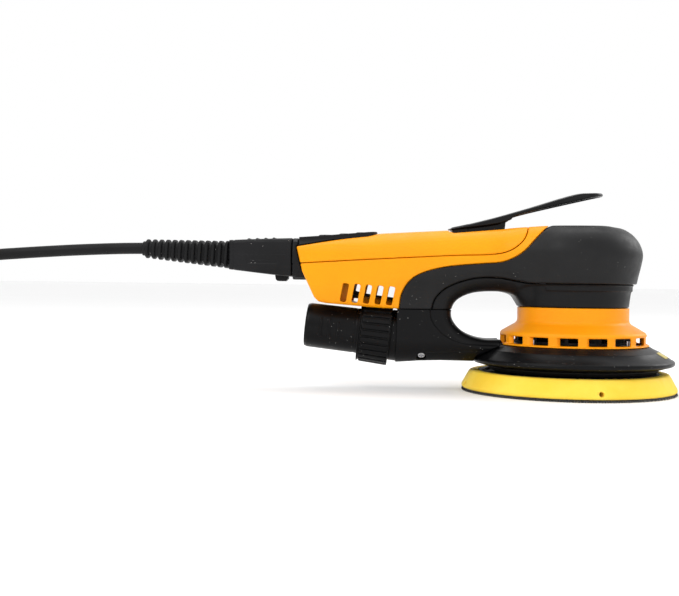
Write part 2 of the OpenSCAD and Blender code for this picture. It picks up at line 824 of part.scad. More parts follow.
// ---- mains lead -----------------------------------------------------------------------------------------
connector_side = [[-204.5, 69.8], [-167.8, 65.6], [-167.8, 88.8], [-204.5, 87.3]];
latch_box = [[-179, -4, 63], [-171, 4, 66.8]];
module connector_body() {
  color([0.1, 0.1, 0.11]) at_motor() difference() {
    union() {
      intersection() {
        side_plate(connector_side);
        rotate([90, 0, 90]) linear_extrude(500, center = true) polygon(mirrored(
          [[0, 89.5], [11.5, 89.2], [14.2, 86.5], [14.8, 82], [14.2, 72], [11, 66], [0, 65.2]]));
        plan_plate([[-167, 15], [-180, 14.6], [-205, 10.4], [-205, -10.4], [-180, -14.6], [-167, -15]]);
      }
      block([spigot[0].x - 1, spigot[0].y, spigot[0].z], [spigot[1].x - 0.3, spigot[1].y, spigot[1].z]);
      // Finger ribs on top
      for (i = [0:3]) translate([-193 + i * 5, 0, 87.5 + i * 0.2]) rotate([90, 0, 0])
        cylinder(r = 1.1, h = 13, center = true);
    }
    for (i = [-1:1]) translate([-167, i * pin_spacing, 76]) rotate([0, 90, 0])
      cylinder(r = inlet_pin_r + run_gap, h = 20, center = true);
    block(latch_box[0] - [0.3, 0.3, 3], latch_box[1] + [0.3, 0.3, 1.5]);
  }
}
module connector_latch() {
  color([0.12, 0.12, 0.12]) at_motor() side_plate(
    [[-179, 66.8], [-178.4, 64], [-177, 63.1], [-172.6, 63.1], [-171, 65], [-171, 66.8]], 4);
}
relief_start = [-204.6, 0, 78.6]; // clear of the connector by its own tilt
relief_end = [-258.5, 0, 82];
rib_count = 13;
module strain_relief() {
  span = relief_end - relief_start;
  length = norm(span);
  pitch = length / (rib_count + 0.3);
  color([0.09, 0.09, 0.1]) at_motor() translate(relief_start)
    rotate([0, -90 + atan2(span.z, -span.x), 0]) {
      translate([0, 0, 0.5]) cylinder(r1 = 6.6, r2 = 4.6, h = length - 0.5);
      for (i = [0:rib_count - 1]) translate([0, 0, i * pitch + 1])
        cylinder(r = 8.7 - 2.8 * i / rib_count, h = pitch * 0.5);
    }
}

// Where the cord leaves the strain relief, hangs and reaches its coil
cord_route = [
  [-256, 0, 82], [-268, 0, 81.8], [-284, 0, 81.2], [-300, 0, 80.4], [-316, 0, 79.4],
  [-332, -1.5, 78.2], [-348, -6, 76.6], [-364, -13, 73.6], [-380, -20, 68.4], [-395, -25.5, 60.5],
  [-409, -29.5, 49.5], [-422, -32, 37], [-436, -34, 24.5], [-452, -35.5, 13.5], [-470, -37.5, 6.4],
  [-488, -41, 3.7], [-505, -45.8, 3.5], [-520, -51, 3.5]
];
coil_center = [-540, 0];
tail_route = [
  [-524, 52.4, 24.2], [-512, 50.8, 23.4], [-500, 48, 21], [-488, 44.8, 17.2], [-478, 42.7, 14],
  [-468.4, 42, 13.2]
];
plug_center = [-432, 42, 13.2];
coil_r = coil_mean_d / 2;
coil_half = coil_rows * cord_d / 2;
// A tube of this radius swept along the points
module swept_tube(route, r, sides) {
  last = len(route) - 1;
  ring_points = [for (i = [0:last])
    let (t = unit(route[min(i + 1, last)] - route[max(i - 1, 0)]),
         side = unit(cross([0, 0.02, 1], t)), up = cross(t, side))
    for (k = [0:sides - 1])
      route[i] + r * (cos(360 * k / sides) * side + sin(360 * k / sides) * up)];
  walls = [for (i = [0:last - 1], k = [0:sides - 1])
    let (a = i * sides + k, b = i * sides + (k + 1) % sides)
    each [[a, b, a + sides], [b, b + sides, a + sides]]];
  ends = [[for (k = [sides - 1:-1:0]) k], [for (k = [0:sides - 1]) last * sides + k]];
  polyhedron(ring_points, concat(walls, ends), convexity = 10);
}
function unit(v) = v / norm(v);
module cord_run() { color([0.08, 0.08, 0.08]) swept_tube(cord_route, cord_d / 2, 8); }
module cord_tail() { color([0.08, 0.08, 0.08]) swept_tube(tail_route, cord_d / 2, 8); }
module cord_coil() {
  color([0.1, 0.1, 0.1]) translate(coil_center)
    ring(coil_r + coil_half, coil_r - coil_half, 0, 2 * coil_half);
}
tie_w = 12;
module cord_tie() {
  color([0.25, 0.25, 0.25]) translate([coil_center.x, coil_center.y, 0]) difference() {
    block([-coil_r - coil_half - 1, -tie_w / 2, 0], [-coil_r + coil_half + 1, tie_w / 2, 2 * coil_half + 1]);
    block([-coil_r - coil_half, -tie_w, 0.8], [-coil_r + coil_half, tie_w, 2 * coil_half]);
  }
}
plug_half = [17.5, 13];
module plug_body() {
  color([0.12, 0.12, 0.12]) translate(plug_center) {
    intersection() {
      block([-12, -plug_half.x, -plug_half.y], [30, plug_half.x, plug_half.y]);
      rotate([0, 90, 0]) linear_extrude(100, center = true) polygon(mirrored(
        [[0, -17.5], [6, -17.5], [10.5, -15], [13, -10], [13, 10], [10.5, 15], [6, 17.5], [0, 17.5]]));
      plan_plate([[30, 17.5], [-2, 17.5], [-9, 12], [-12, 7.5], [-12, -7.5], [-9, -12], [-2, -17.5],
                  [30, -17.5]], -20, 20);
    }
    translate([-12, 0, 0]) rotate([0, -90, 0]) cylinder(r1 = 7, r2 = 4.6, h = 24);
  }
}
module plug_pins() {
  color("silver") translate(plug_center) for (s = [-1, 1])
    translate([30, s * 9.5, 0]) rotate([0, 90, 0]) cylinder(r = 2.4, h = 19);
}

upper_cover();
handle_shell();
rubber_grip();
inner_housing();
exhaust_duct();
dust_shroud();
shroud_tab();
brake_seal();
motor_housing();
power_inlet();
inlet_pins();
control_panel();
power_button();
speed_up_button();
speed_down_button();
status_lens();
lever();
lever_pin();
lever_spring();
lever_switch();
switch_bracket();
button_board();
motor_board();
capacitors();
hall_board();
stator_core();
stator_windings();
rotor_core();
rotor_magnets();
rotor_shaft();
upper_bearing();
lower_bearing();
bearing_bridge();
cooling_fan();
counterweight();
spindle_bearings();
spindle();
pad_plate();
pad_foam();
hook_face();
pad_stud();
swivel_collar();
hose_nozzle();
nozzle_seal();
duct_screws();
shroud_screws();
housing_screws();
motor_leads();
connector_body();
connector_latch();
strain_relief();
cord_run();
cord_coil();
cord_tie();
cord_tail();
plug_body();
plug_pins();
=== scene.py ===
"""Orbital sander on a pale floor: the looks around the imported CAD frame.

Shapes are written in millimetres from the motor axis, with z = 0 on the floor,
and become metres in the row frame when a piece is made.
"""

import json
import math

import bpy
import numpy as np
import openvdb as vdb
from mathutils import Matrix, Vector

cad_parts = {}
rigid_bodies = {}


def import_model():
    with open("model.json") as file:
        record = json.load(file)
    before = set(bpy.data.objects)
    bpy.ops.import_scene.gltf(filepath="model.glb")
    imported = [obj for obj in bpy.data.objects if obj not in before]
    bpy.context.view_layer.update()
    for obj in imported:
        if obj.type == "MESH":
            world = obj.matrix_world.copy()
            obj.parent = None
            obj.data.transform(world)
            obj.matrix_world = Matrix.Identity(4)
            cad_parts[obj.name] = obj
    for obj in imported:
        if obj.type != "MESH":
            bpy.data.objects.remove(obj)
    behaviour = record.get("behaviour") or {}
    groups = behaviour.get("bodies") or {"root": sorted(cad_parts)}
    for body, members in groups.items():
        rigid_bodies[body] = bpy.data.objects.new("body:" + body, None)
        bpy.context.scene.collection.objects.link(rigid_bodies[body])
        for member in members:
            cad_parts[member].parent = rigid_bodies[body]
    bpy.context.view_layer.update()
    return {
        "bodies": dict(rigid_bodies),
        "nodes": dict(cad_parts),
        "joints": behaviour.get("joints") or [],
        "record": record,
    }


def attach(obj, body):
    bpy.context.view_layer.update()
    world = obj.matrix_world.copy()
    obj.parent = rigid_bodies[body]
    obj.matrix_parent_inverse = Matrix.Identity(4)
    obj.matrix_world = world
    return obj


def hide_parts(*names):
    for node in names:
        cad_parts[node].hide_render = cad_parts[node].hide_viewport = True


MOTOR_X = 2.5  # the motor axis stands this far in front of the pad's centre
MM = 0.001

# ---- outlines of the handle, (x, z) ------------------------------------------------------
HANDLE_SIDE = [
    (-163.4, 83.9), (-114.3, 92.9), (-75, 94.8), (-71.5, 92.8), (-40, 95.7), (-15, 96.9), (10, 97),
    (10, 50), (-28, 45), (-72.4, 30), (-104.4, 47.4), (-146, 50.6), (-150.2, 51.5),
    (-152.7, 54), (-159.8, 68.9),
]
CROWN = [
    (-163.4, 83.9), (-114.3, 92.9), (-75, 94.8), (-71.5, 92.8), (-40, 95.7), (-15, 96.9),
    (18, 97), (24.6, 96.9), (28.2, 96), (31, 94.5), (33.9, 92.4), (36.7, 89.2), (39, 85),
    (40, 80), (41, 70),
]
HALF_SECTION = [
    (0, 97.5), (8, 97.3), (14.5, 95), (20, 90.2), (23.6, 84), (24.4, 78), (22.8, 70.5),
    (19.3, 62), (17, 54), (16.2, 46), (16.2, 30),
]
SECTION_SLOPE = 3.8  # degrees that the handle's top falls towards the cord
SECTION_X = -40
HALF_PLAN = [(12, 26), (-50, 25), (-95, 24.5), (-130, 21.5), (-155, 19.5), (-170, 18.4)]
SEAM_LINE = [
    (-175, 73.1), (-163, 73.7), (-130, 75.8), (-97, 77.7), (-70, 79.2), (-52, 79.8),
    (-42, 81.4), (-35, 85.5), (-30.5, 91.5), (-27.5, 103),
]
GRIP_LINE = [
    (-103.2, 40), (-103, 47.6), (-101.5, 57), (-96.4, 65), (-87.4, 69.9), (-73.8, 73),
    (-55.8, 74.7), (-45, 75.6), (-37.7, 78.3), (-32, 82.3), (-26.6, 88.3), (-21, 94),
    (-15, 98.5), (-8, 106),
]
LINER_LINE = [
    (-84, 40), (-84, 47.4), (-81.5, 55), (-73.8, 61.5), (-60.3, 66), (-46.8, 66.6),
    (-32.3, 64.4), (-20, 63.5), (60, 63.5),
]
# The liner's edge goes on below the column's seam, round the finger hole
DUCT_CREASE = [
    (-85.3, 49), (-84.8, 43.1), (-82.1, 37.9), (-76.4, 32.3), (-68.1, 28.3), (-57.8, 26.9),
    (-44, 26.5),
]
FINGER_HOLE = [
    (-72.4, 46), (-69.5, 53), (-60, 57.7), (-46, 58.7), (-37, 57), (-32, 52.4), (-20, 46),
    (-20, 33), (-43, 30.6), (-55, 30.9), (-64.5, 34.4), (-70.5, 40),
]
HEAD_PROFILE = [
    (36.3, 63.9), (37.5, 69.5), (38.7, 74.7), (39.5, 79), (39.4, 82.3), (38.4, 85.6),
    (36.7, 88.9), (33.9, 92.2), (31, 94.4), (28.2, 95.9), (24.6, 96.8), (18, 97),
]
COLUMN_SEAM_Z = 47.8
NECK_TOP_Z = 49.9
NECK_R = 32.4
WALL = 2.6
SEAM_GAP = 0.22  # each shell stands this far back from a seam
EDGE = 0.5  # rounding of the shells' edges
HOLE_FILLET = 6.5

OUTLET_START = (-107.2, 0, 31.8)
OUTLET_TILT = 6.2  # degrees that the outlet climbs towards the nozzle
DUCT_END_X = -104.5  # where the duct's end face crosses the outlet's axis
DUCT_END_LEAN = 1.7  # degrees
DUCT_SCREWS = (-89.5, 11.2, 19.5)  # one on each side, square to the rounded underside
DUCT_SCREW_LEAN = 43  # degrees that they face outward from straight down
DUCT_SCREW_SUNK = 1.2
SHELL_SCREW_X, SHELL_SCREW_Y = -141, 8
PAD_PHASE = -3.4  # degrees that the dust holes are turned
# Radius, diameter, number and first angle of each ring of dust holes
HOLE_RINGS = [(46.2, 9.7, 8, 0), (33.4, 9.7, 8, 22.5), (48.2, 5.5, 8, 22.5), (25.8, 4, 4, 45)]

# ---- the mains lead, in the row frame ----------------------------------------------------
CORD_D = 7
CORD_ROUTE = [
    (-256, 0, 82), (-268, 0, 81.8), (-284, 0, 81.2), (-300, 0, 80.4), (-316, 0, 79.4),
    (-332, -1.5, 78.2), (-348, -6, 76.6), (-364, -13, 73.6), (-380, -20, 68.4),
    (-395, -25.5, 60.5), (-409, -29.5, 49.5), (-422, -32, 37), (-436, -34, 24.5),
    (-452, -35.5, 13.5), (-470, -37.5, 6.4), (-488, -41, 3.7), (-505, -45.8, 3.5),
    (-520, -51, 3.5),
]
TAIL_ROUTE = [
    (-524, 52.4, 24.2), (-512, 50.8, 23.4), (-500, 48, 21), (-488, 44.8, 17.2),
    (-478, 42.7, 14), (-468.4, 42, 13.2), (-462, 42, 13.2),
]
COIL_CENTER = (-540, 0)
COIL_OUTER_R = 52.5  # of the cord's middle in the coil's outermost place
PLUG_CENTER = (-432, 42, 13.2)


# ---- numbers and curves ------------------------------------------------------------------
def smooth_line(points, steps=4):
    """A smooth open curve through the points, with that many steps between neighbours."""
    p = np.array(points, float)
    out = []
    for i in range(len(p) - 1):
        a, b, c, d = p[max(i - 1, 0)], p[i], p[i + 1], p[min(i + 2, len(p) - 1)]
        for k in range(steps):
            t = k / steps
            out.append(
                (2 * b + (c - a) * t + (2 * a - 5 * b + 4 * c - d) * t * t
                 + (3 * b - a - 3 * c + d) * t**3) / 2
            )
    return np.array(out + [p[-1]])


def smooth_loop(points, steps=4):
    """A smooth closed curve through the points."""
    p = list(points)
    line = smooth_line([p[-1]] + p + p[:2], steps)
    return line[steps:-steps - 1]


def mirrored(half):
    """A closed outline from its half with y >= 0, listed from the top down."""
    return [tuple(p) for p in half] + [(-p[0], p[1]) for p in half[::-1]]


def cos_sin(degrees):
    return math.cos(math.radians(degrees)), math.sin(math.radians(degrees))


def smoothstep(x):
    x = np.clip(x, 0, 1)
    return x * x * (3 - 2 * x)


# ---- distance fields ---------------------------------------------------------------------
class Grid:
    """Sample points of a box. With half, y starts at 0 and the mesh is mirrored."""

    def __init__(self, low, high, pitch, half=True):
        low = [low[0], 0 if half else low[1], low[2]]
        self.pitch, self.half, self.low = pitch, half, low
        x, y, z = [
            (a + pitch * np.arange(int((b - a) / pitch) + 2)).astype(np.float32)
            for a, b in zip(low, high)
        ]
        self.shape = (len(x), len(y), len(z))
        self.x, self.y, self.z = x[:, None, None], y[None, :, None], z[None, None, :]


def polygon_distance(u, v, outline):
    """Signed distance of each point from a closed outline, negative inside."""
    points = np.array(outline, np.float32)
    u, v = np.broadcast_arrays(u, v)
    nearest = np.full(u.shape, 1e9, np.float32)
    inside = np.zeros(u.shape, bool)
    for (ax, ay), (bx, by) in zip(points, np.roll(points, -1, axis=0)):
        ex, ey = bx - ax, by - ay
        if ex == 0 and ey == 0:
            continue
        t = np.clip(((u - ax) * ex + (v - ay) * ey) / (ex * ex + ey * ey), 0, 1)
        nearest = np.minimum(nearest, (u - ax - t * ex) ** 2 + (v - ay - t * ey) ** 2)
        if ey != 0:
            inside ^= ((ay > v) != (by > v)) & (u < ax + ex * (v - ay) / ey)
    return np.where(inside, -1, 1) * np.sqrt(nearest)


def side_field(grid, outline):
    """A plate whose outline is (x, z)."""
    return polygon_distance(grid.x, grid.z, outline)


def plan_field(grid, outline):
    """A plate whose outline is (x, y)."""
    return polygon_distance(grid.x, grid.y, outline)


def from_table(table, place):
    index = np.clip(place.astype(int), 0, len(table) - 2)
    part = (place - index).astype(np.float32)
    return table[index], table[index + 1], part


def revolve_field(grid, profile, step=0.25):
    """A turned solid whose profile is (radius, z). Points on the axis close it."""
    radius = np.hypot(grid.x[:, :, 0], grid.y[:, :, 0])
    radii = np.arange(0, radius.max() + 2 * step, step)
    closed = [(-60, z) if r == 0 else (r, z) for r, z in profile]
    table = polygon_distance(radii[:, None], grid.z[0], closed)
    low, high, part = from_table(table, radius / step)
    return low + (high - low) * part[..., None]


def section_field(grid, outline, step=0.25):
    """A bar along the handle's slope whose outline is (y, z) where x is SECTION_X."""
    heights = np.arange(20, 125, step)
    table = polygon_distance(grid.y[0].T, heights[:, None], outline)
    slope = math.tan(math.radians(SECTION_SLOPE))
    shifted = grid.z[0] - (grid.x[:, :, 0] - SECTION_X) * slope
    low, high, part = from_table(table, (shifted - heights[0]) / step)
    return (low + (high - low) * part[..., None]).transpose(0, 2, 1)


def box_field(grid, low, high, corner=0.0):
    """A round-cornered block between two opposite corners."""
    axes = (grid.x, grid.y, grid.z)
    q = [np.abs(a - (l + h) / 2) - (h - l) / 2 + corner for a, l, h in zip(axes, low, high)]
    outside = np.sqrt(sum(np.maximum(d, 0) ** 2 for d in q))
    inside = np.minimum(np.maximum(np.maximum(q[0], q[1]), q[2]), 0)
    return outside + inside - corner


def box_2d(u, v, half_u, half_v, corner):
    """A round-cornered rectangle about (0, 0)."""
    qu, qv = np.abs(u) - half_u + corner, np.abs(v) - half_v + corner
    return (np.hypot(np.maximum(qu, 0), np.maximum(qv, 0))
            + np.minimum(np.maximum(qu, qv), 0) - corner)


def round_and(a, b, r):
    """What both fields hold, with its edges rounded."""
    return np.minimum(np.maximum(a, b), -r) + np.hypot(np.maximum(a + r, 0), np.maximum(b + r, 0))


def round_or(a, b, r):
    """What either field holds, with the corner between them filled."""
    return np.maximum(np.minimum(a, b), r) - np.hypot(np.maximum(r - a, 0), np.maximum(r - b, 0))


def hollow(skin, outer, wall):
    """skin without what lies deeper than the wall in outer."""
    return np.maximum(skin, -(outer + wall))


# ---- pieces ------------------------------------------------------------------------------
class Form:
    """Points in millimetres and faces, gathered from several shapes."""

    def __init__(self):
        self.points, self.faces, self.slots, self.count = [], [], [], 0

    def add(self, points, faces, slot=0):
        points = np.array(points, float).reshape(-1, 3)
        self.points.append(points)
        self.faces += [tuple(int(i) + self.count for i in f) for f in faces]
        self.slots += [slot] * len(faces)
        self.count += len(points)
        return self

    def moved(self, place):
        """The same form with each point passed through place."""
        out = Form()
        out.points = [np.array([place(p) for p in block]) for block in self.points]
        out.faces, out.slots, out.count = list(self.faces), list(self.slots), self.count
        return out

    def take(self, other, slot=None):
        for block in other.points:
            self.points.append(block)
        self.faces += [tuple(i + self.count for i in f) for f in other.faces]
        self.slots += other.slots if slot is None else [slot] * len(other.faces)
        self.count += other.count
        return self

    def piece(self, name, materials, shift=(MOTOR_X, 0, 0), flat_angle=None):
        mesh = bpy.data.meshes.new(name)
        points = (np.concatenate(self.points) + np.array(shift)) * MM
        mesh.from_pydata(points.tolist(), [], self.faces)
        mesh.update()
        for material in materials:
            mesh.materials.append(material)
        mesh.polygons.foreach_set("material_index", self.slots)
        mesh.shade_smooth()
        if flat_angle is not None:
            mesh.set_sharp_from_angle(angle=math.radians(flat_angle))
        obj = bpy.data.objects.new(name, mesh)
        bpy.context.scene.collection.objects.link(obj)
        return obj


def volume_of(points, faces):
    a, b, c = (points[faces[:, i]] for i in range(3))
    return float((a * np.cross(b, c)).sum()) / 6


def skin_of(grid, field, adaptivity=0.0):
    """The surface where the field is 0, as a form."""
    field = np.ascontiguousarray(np.broadcast_to(field, grid.shape), np.float32)
    low = list(grid.low)
    if grid.half:
        field = np.concatenate([field[:, :0:-1], field], axis=1)
        low[1] = -grid.pitch * (grid.shape[1] - 1)
    band = 4 * grid.pitch
    level = vdb.FloatGrid(band)
    level.copyFromArray(np.clip(field, -band, band))
    points, triangles, quads = level.convertToPolygons(isovalue=0.0, adaptivity=adaptivity)
    points = np.array(low) + points * grid.pitch
    halves = np.concatenate([triangles, quads[:, :3], quads[:, [0, 2, 3]]])
    if volume_of(points, halves) < 0:
        triangles, quads = triangles[:, ::-1], quads[:, ::-1]
    return Form().add(points, triangles.tolist() + quads.tolist())


def tube_form(rings, closed_ends=True):
    """A tube through rings with equal numbers of points."""
    count = len(rings[0])
    faces = []
    for i in range(len(rings) - 1):
        for k in range(count):
            a, b = i * count + k, i * count + (k + 1) % count
            faces.append((a, b, b + count, a + count))
    if closed_ends:
        faces.append(tuple(range(count))[::-1])
        faces.append(tuple(range((len(rings) - 1) * count, len(rings) * count)))
    return Form().add(np.concatenate(rings), faces)


def softened(profile, r, steps=3):
    """A closed profile with each corner replaced by a short curve."""
    p = [np.array(q, float) for q in profile]
    out = []
    for i, corner in enumerate(p):
        before, after = p[i - 1] - corner, p[(i + 1) % len(p)] - corner
        reach = min(r, np.linalg.norm(before) * 0.45, np.linalg.norm(after) * 0.45)
        a = corner + before / np.linalg.norm(before) * reach
        b = corner + after / np.linalg.norm(after) * reach
        for k in range(steps + 1):
            t = k / steps
            out.append((1 - t) ** 2 * a + 2 * t * (1 - t) * corner + t * t * b)
    return out


def turned_rings(profile, segments):
    """A ring of points for each (radius, z) of the profile."""
    angles = np.arange(segments) * 2 * math.pi / segments
    return [
        np.stack([r * np.cos(angles), r * np.sin(angles), np.full(segments, z)], 1)
        for r, z in profile
    ]


def lathe_ring(profile, segments):
    """A turned ring whose closed profile is (radius, z)."""
    rings = turned_rings(profile, segments)
    return tube_form(rings + rings[:1], closed_ends=False)


def lathe_solid(profile, segments):
    """A turned solid whose profile runs from its lower end to its upper end."""
    return tube_form(turned_rings(profile, segments))


def along_outlet(p):
    """From the outlet's own frame, where z runs out of the nozzle, to the sander's."""
    turn = math.radians(OUTLET_TILT - 90)
    x = p[0] * math.cos(turn) + p[2] * math.sin(turn)
    z = -p[0] * math.sin(turn) + p[2] * math.cos(turn)
    return np.array([x + OUTLET_START[0], p[1], z + OUTLET_START[2]])


def outlet_place(grid):
    """Distance out along the outlet's axis, and distance from that axis."""
    c, s = cos_sin(OUTLET_TILT)
    dx, dz = grid.x - OUTLET_START[0], grid.z - OUTLET_START[2]
    return dz * s - dx * c, np.hypot(grid.y, dx * s + dz * c)


def finish_piece(obj, body, slot, *nodes):
    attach(obj, body)
    if nodes:
        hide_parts(*nodes)
    return obj


def add_piece(mats, form, name, body, slot, *nodes, marks=None, **how):
    """A form as a piece in its slot's material. marks is the material of its second slot."""
    materials = [mats[slot]]
    if marks is not None:
        materials.append(mats[marks])
    return finish_piece(form.piece(name, materials, **how), body, slot, *nodes)


# ---- materials ---------------------------------------------------------------------------
def node(tree, kind, inputs=None, **settings):
    made = tree.nodes.new("ShaderNode" + kind)
    for key, value in settings.items():
        setattr(made, key, value)
    for key, value in (inputs or {}).items():
        if isinstance(value, bpy.types.NodeSocket):
            tree.links.new(value, made.inputs[key])
        else:
            made.inputs[key].default_value = value
    return made


class Surface:
    """A material being built: patterns in metres, laid over one shader."""

    def __init__(self, name, **shader):
        self.material = bpy.data.materials.new(name)
        self.material.use_nodes = True
        self.tree = self.material.node_tree
        self.shader = self.tree.nodes["Principled BSDF"]
        for key, value in shader.items():
            label = key.replace("_", " ").title().replace("Ior", "IOR")
            self.shader.inputs[label].default_value = value
        self.place = node(self.tree, "TexCoord").outputs["Object"]
        self.normal = None

    def noise(self, scale, detail=2.0, stretch=None, distortion=0.0):
        place = self.place
        if stretch is not None:
            mapped = node(self.tree, "Mapping", {"Vector": place, "Scale": stretch})
            place = mapped.outputs["Vector"]
        made = node(self.tree, "TexNoise", {
            "Vector": place, "Scale": scale, "Detail": detail, "Distortion": distortion,
        })
        return made.outputs["Fac"]

    def spread(self, value, low, high, to_low=0.0, to_high=1.0):
        made = node(self.tree, "MapRange", {
            "Value": value, "From Min": low, "From Max": high,
            "To Min": to_low, "To Max": to_high,
        })
        return made.outputs["Result"]

    def math(self, operation, a, b):
        return node(self.tree, "Math", {0: a, 1: b}, operation=operation).outputs[0]

    def shade(self, value, deep, light):
        """Colour between two tones as the pattern goes from its low to its high places."""
        return self.mix(self.spread(value, 0.3, 0.7), deep, light)

    def uneven(self, value, low, high):
        """Roughness between two amounts, in the same way."""
        self.roughness(self.spread(value, 0.3, 0.7, low, high))

    def waves(self, scale, distortion, direction="Z", **more):
        made = node(self.tree, "TexWave", {
            "Vector": self.place, "Scale": scale, "Distortion": distortion, **more,
        }, bands_direction=direction)
        return made.outputs["Fac"]

    def mix(self, factor, a, b):
        made = node(self.tree, "Mix", {"Factor": factor}, data_type="RGBA")
        for socket, value in ((made.inputs[6], a), (made.inputs[7], b)):
            if isinstance(value, bpy.types.NodeSocket):
                self.tree.links.new(value, socket)
            else:
                socket.default_value = (*value, 1)
        return made.outputs[2]

    def dots(self, scale, size, share):
        """Scattered round specks: 1 on a speck, in that share of the cells."""
        cells = node(self.tree, "TexVoronoi", {"Vector": self.place, "Scale": scale})
        near = self.math("LESS_THAN", cells.outputs["Distance"], size)
        parts = node(self.tree, "SeparateColor", {"Color": cells.outputs["Color"]})
        chosen = self.math("LESS_THAN", parts.outputs[0], share)
        return self.math("MULTIPLY", near, chosen)

    def colour(self, value):
        self.tree.links.new(value, self.shader.inputs["Base Color"])

    def roughness(self, value):
        self.tree.links.new(value, self.shader.inputs["Roughness"])

    def bump(self, height, strength, distance):
        inputs = {"Height": height, "Strength": strength, "Distance": distance}
        if self.normal is not None:
            inputs["Normal"] = self.normal
        self.normal = node(self.tree, "Bump", inputs).outputs["Normal"]
        self.tree.links.new(self.normal, self.shader.inputs["Normal"])


DUST = (0.62, 0.6, 0.56)


def moulded(name, light, deep, rough, grain, dust=0.0, **shader):
    """Moulded plastic or rubber: two tones, a fine grain and a little dust."""
    s = Surface(name, **{"specular_ior_level": 0.16, **shader})
    tone = s.shade(s.noise(28, 3), deep, light)
    if dust > 0:
        drift = s.spread(s.noise(45, 2), 0.42, 0.62)
        specks = s.math("MULTIPLY", s.dots(850, 0.12, dust * 1.8), drift)
        tone = s.mix(specks, tone, DUST)
    s.colour(tone)
    s.uneven(s.noise(150, 4), rough - 0.06, rough + 0.06)
    s.bump(s.noise(grain[0], 3), grain[1], 0.0002)
    return s.material


def foam_material():
    s = Surface("foam_yellow", specular_ior_level=0.2, subsurface_weight=0.12, subsurface_scale=0.003)
    tone = s.shade(s.noise(60, 4), (0.90, 0.59, 0.045), (0.95, 0.68, 0.080))
    pores = s.dots(1500, 0.2, 0.5)
    s.colour(s.mix(s.math("MULTIPLY", pores, 0.35), tone, (0.70, 0.42, 0.04)))
    s.uneven(s.noise(200, 3), 0.55, 0.75)
    s.bump(s.noise(900, 4), 0.35, 0.0002)
    s.bump(pores, -0.25, 0.0002)
    return s.material


def hook_material():
    s = Surface("hook_pile", sheen_weight=0.5, sheen_roughness=0.4)
    s.colour(s.shade(s.noise(300, 4), (0.008, 0.008, 0.009), (0.03, 0.03, 0.033)))
    s.uneven(s.noise(500, 3), 0.5, 0.8)
    s.bump(s.noise(2500, 3), 0.5, 0.0002)
    return s.material


def metal(name, light, deep, rough, stretch=(1, 1, 14)):
    """Machined or plated metal with fine tool marks."""
    s = Surface(name, metallic=1.0)
    marks = s.noise(260, 4, stretch)
    s.colour(s.shade(marks, deep, light))
    s.uneven(marks, rough - 0.08, rough + 0.1)
    s.bump(marks, 0.12, 0.0001)
    return s.material


def laminated_material():
    """Stacked sheet steel, with a line for each sheet."""
    s = Surface("lamination", metallic=0.8)
    sheets = s.waves(320, 0.2)
    s.colour(s.mix(sheets, (0.10, 0.10, 0.11), (0.32, 0.32, 0.34)))
    s.uneven(s.noise(120, 3), 0.4, 0.6)
    s.bump(sheets, 0.4, 0.0002)
    return s.material


def winding_material():
    """Enamelled wire, wound in close turns."""
    s = Surface("copper_winding", metallic=0.9)
    turns = s.waves(420, 0.6)
    s.colour(s.mix(turns, (0.25, 0.08, 0.02), (0.72, 0.33, 0.12)))
    s.uneven(s.noise(200, 2), 0.25, 0.4)
    s.bump(turns, 0.5, 0.0003)
    return s.material


def board_material():
    """Circuit board with tracks under its solder mask."""
    s = Surface("circuit_board", coat_weight=0.3)
    tracks = node(s.tree, "TexBrick", {"Vector": s.place, "Scale": 260,
                                       "Mortar Size": 0.012}).outputs["Fac"]
    s.colour(s.mix(tracks, (0.012, 0.10, 0.045), (0.05, 0.22, 0.09)))
    s.uneven(s.noise(300, 2), 0.3, 0.45)
    s.bump(tracks, 0.2, 0.0001)
    return s.material


def strap_material():
    """Woven hook and loop strap."""
    s = Surface("strap_weave", sheen_weight=0.6, sheen_roughness=0.5)
    weave = s.waves(420, 3.0, "DIAGONAL", Detail=3.0)
    s.colour(s.mix(weave, (0.01, 0.01, 0.012), (0.05, 0.05, 0.055)))
    s.uneven(s.noise(400, 3), 0.7, 0.95)
    s.bump(weave, 0.6, 0.0003)
    return s.material


def lens_material():
    s = Surface("lens_green", transmission_weight=0.6, ior=1.49)
    s.colour(s.mix(s.noise(900, 2), (0.10, 0.55, 0.16), (0.25, 0.85, 0.30)))
    s.uneven(s.noise(600, 2), 0.08, 0.2)
    return s.material


def floor_material():
    s = Surface("pale_floor", specular_ior_level=0.2)
    s.colour(s.mix(s.noise(3, 3), (0.92, 0.92, 0.92), (0.95, 0.95, 0.95)))
    s.uneven(s.noise(9, 2), 0.75, 0.85)
    return s.material


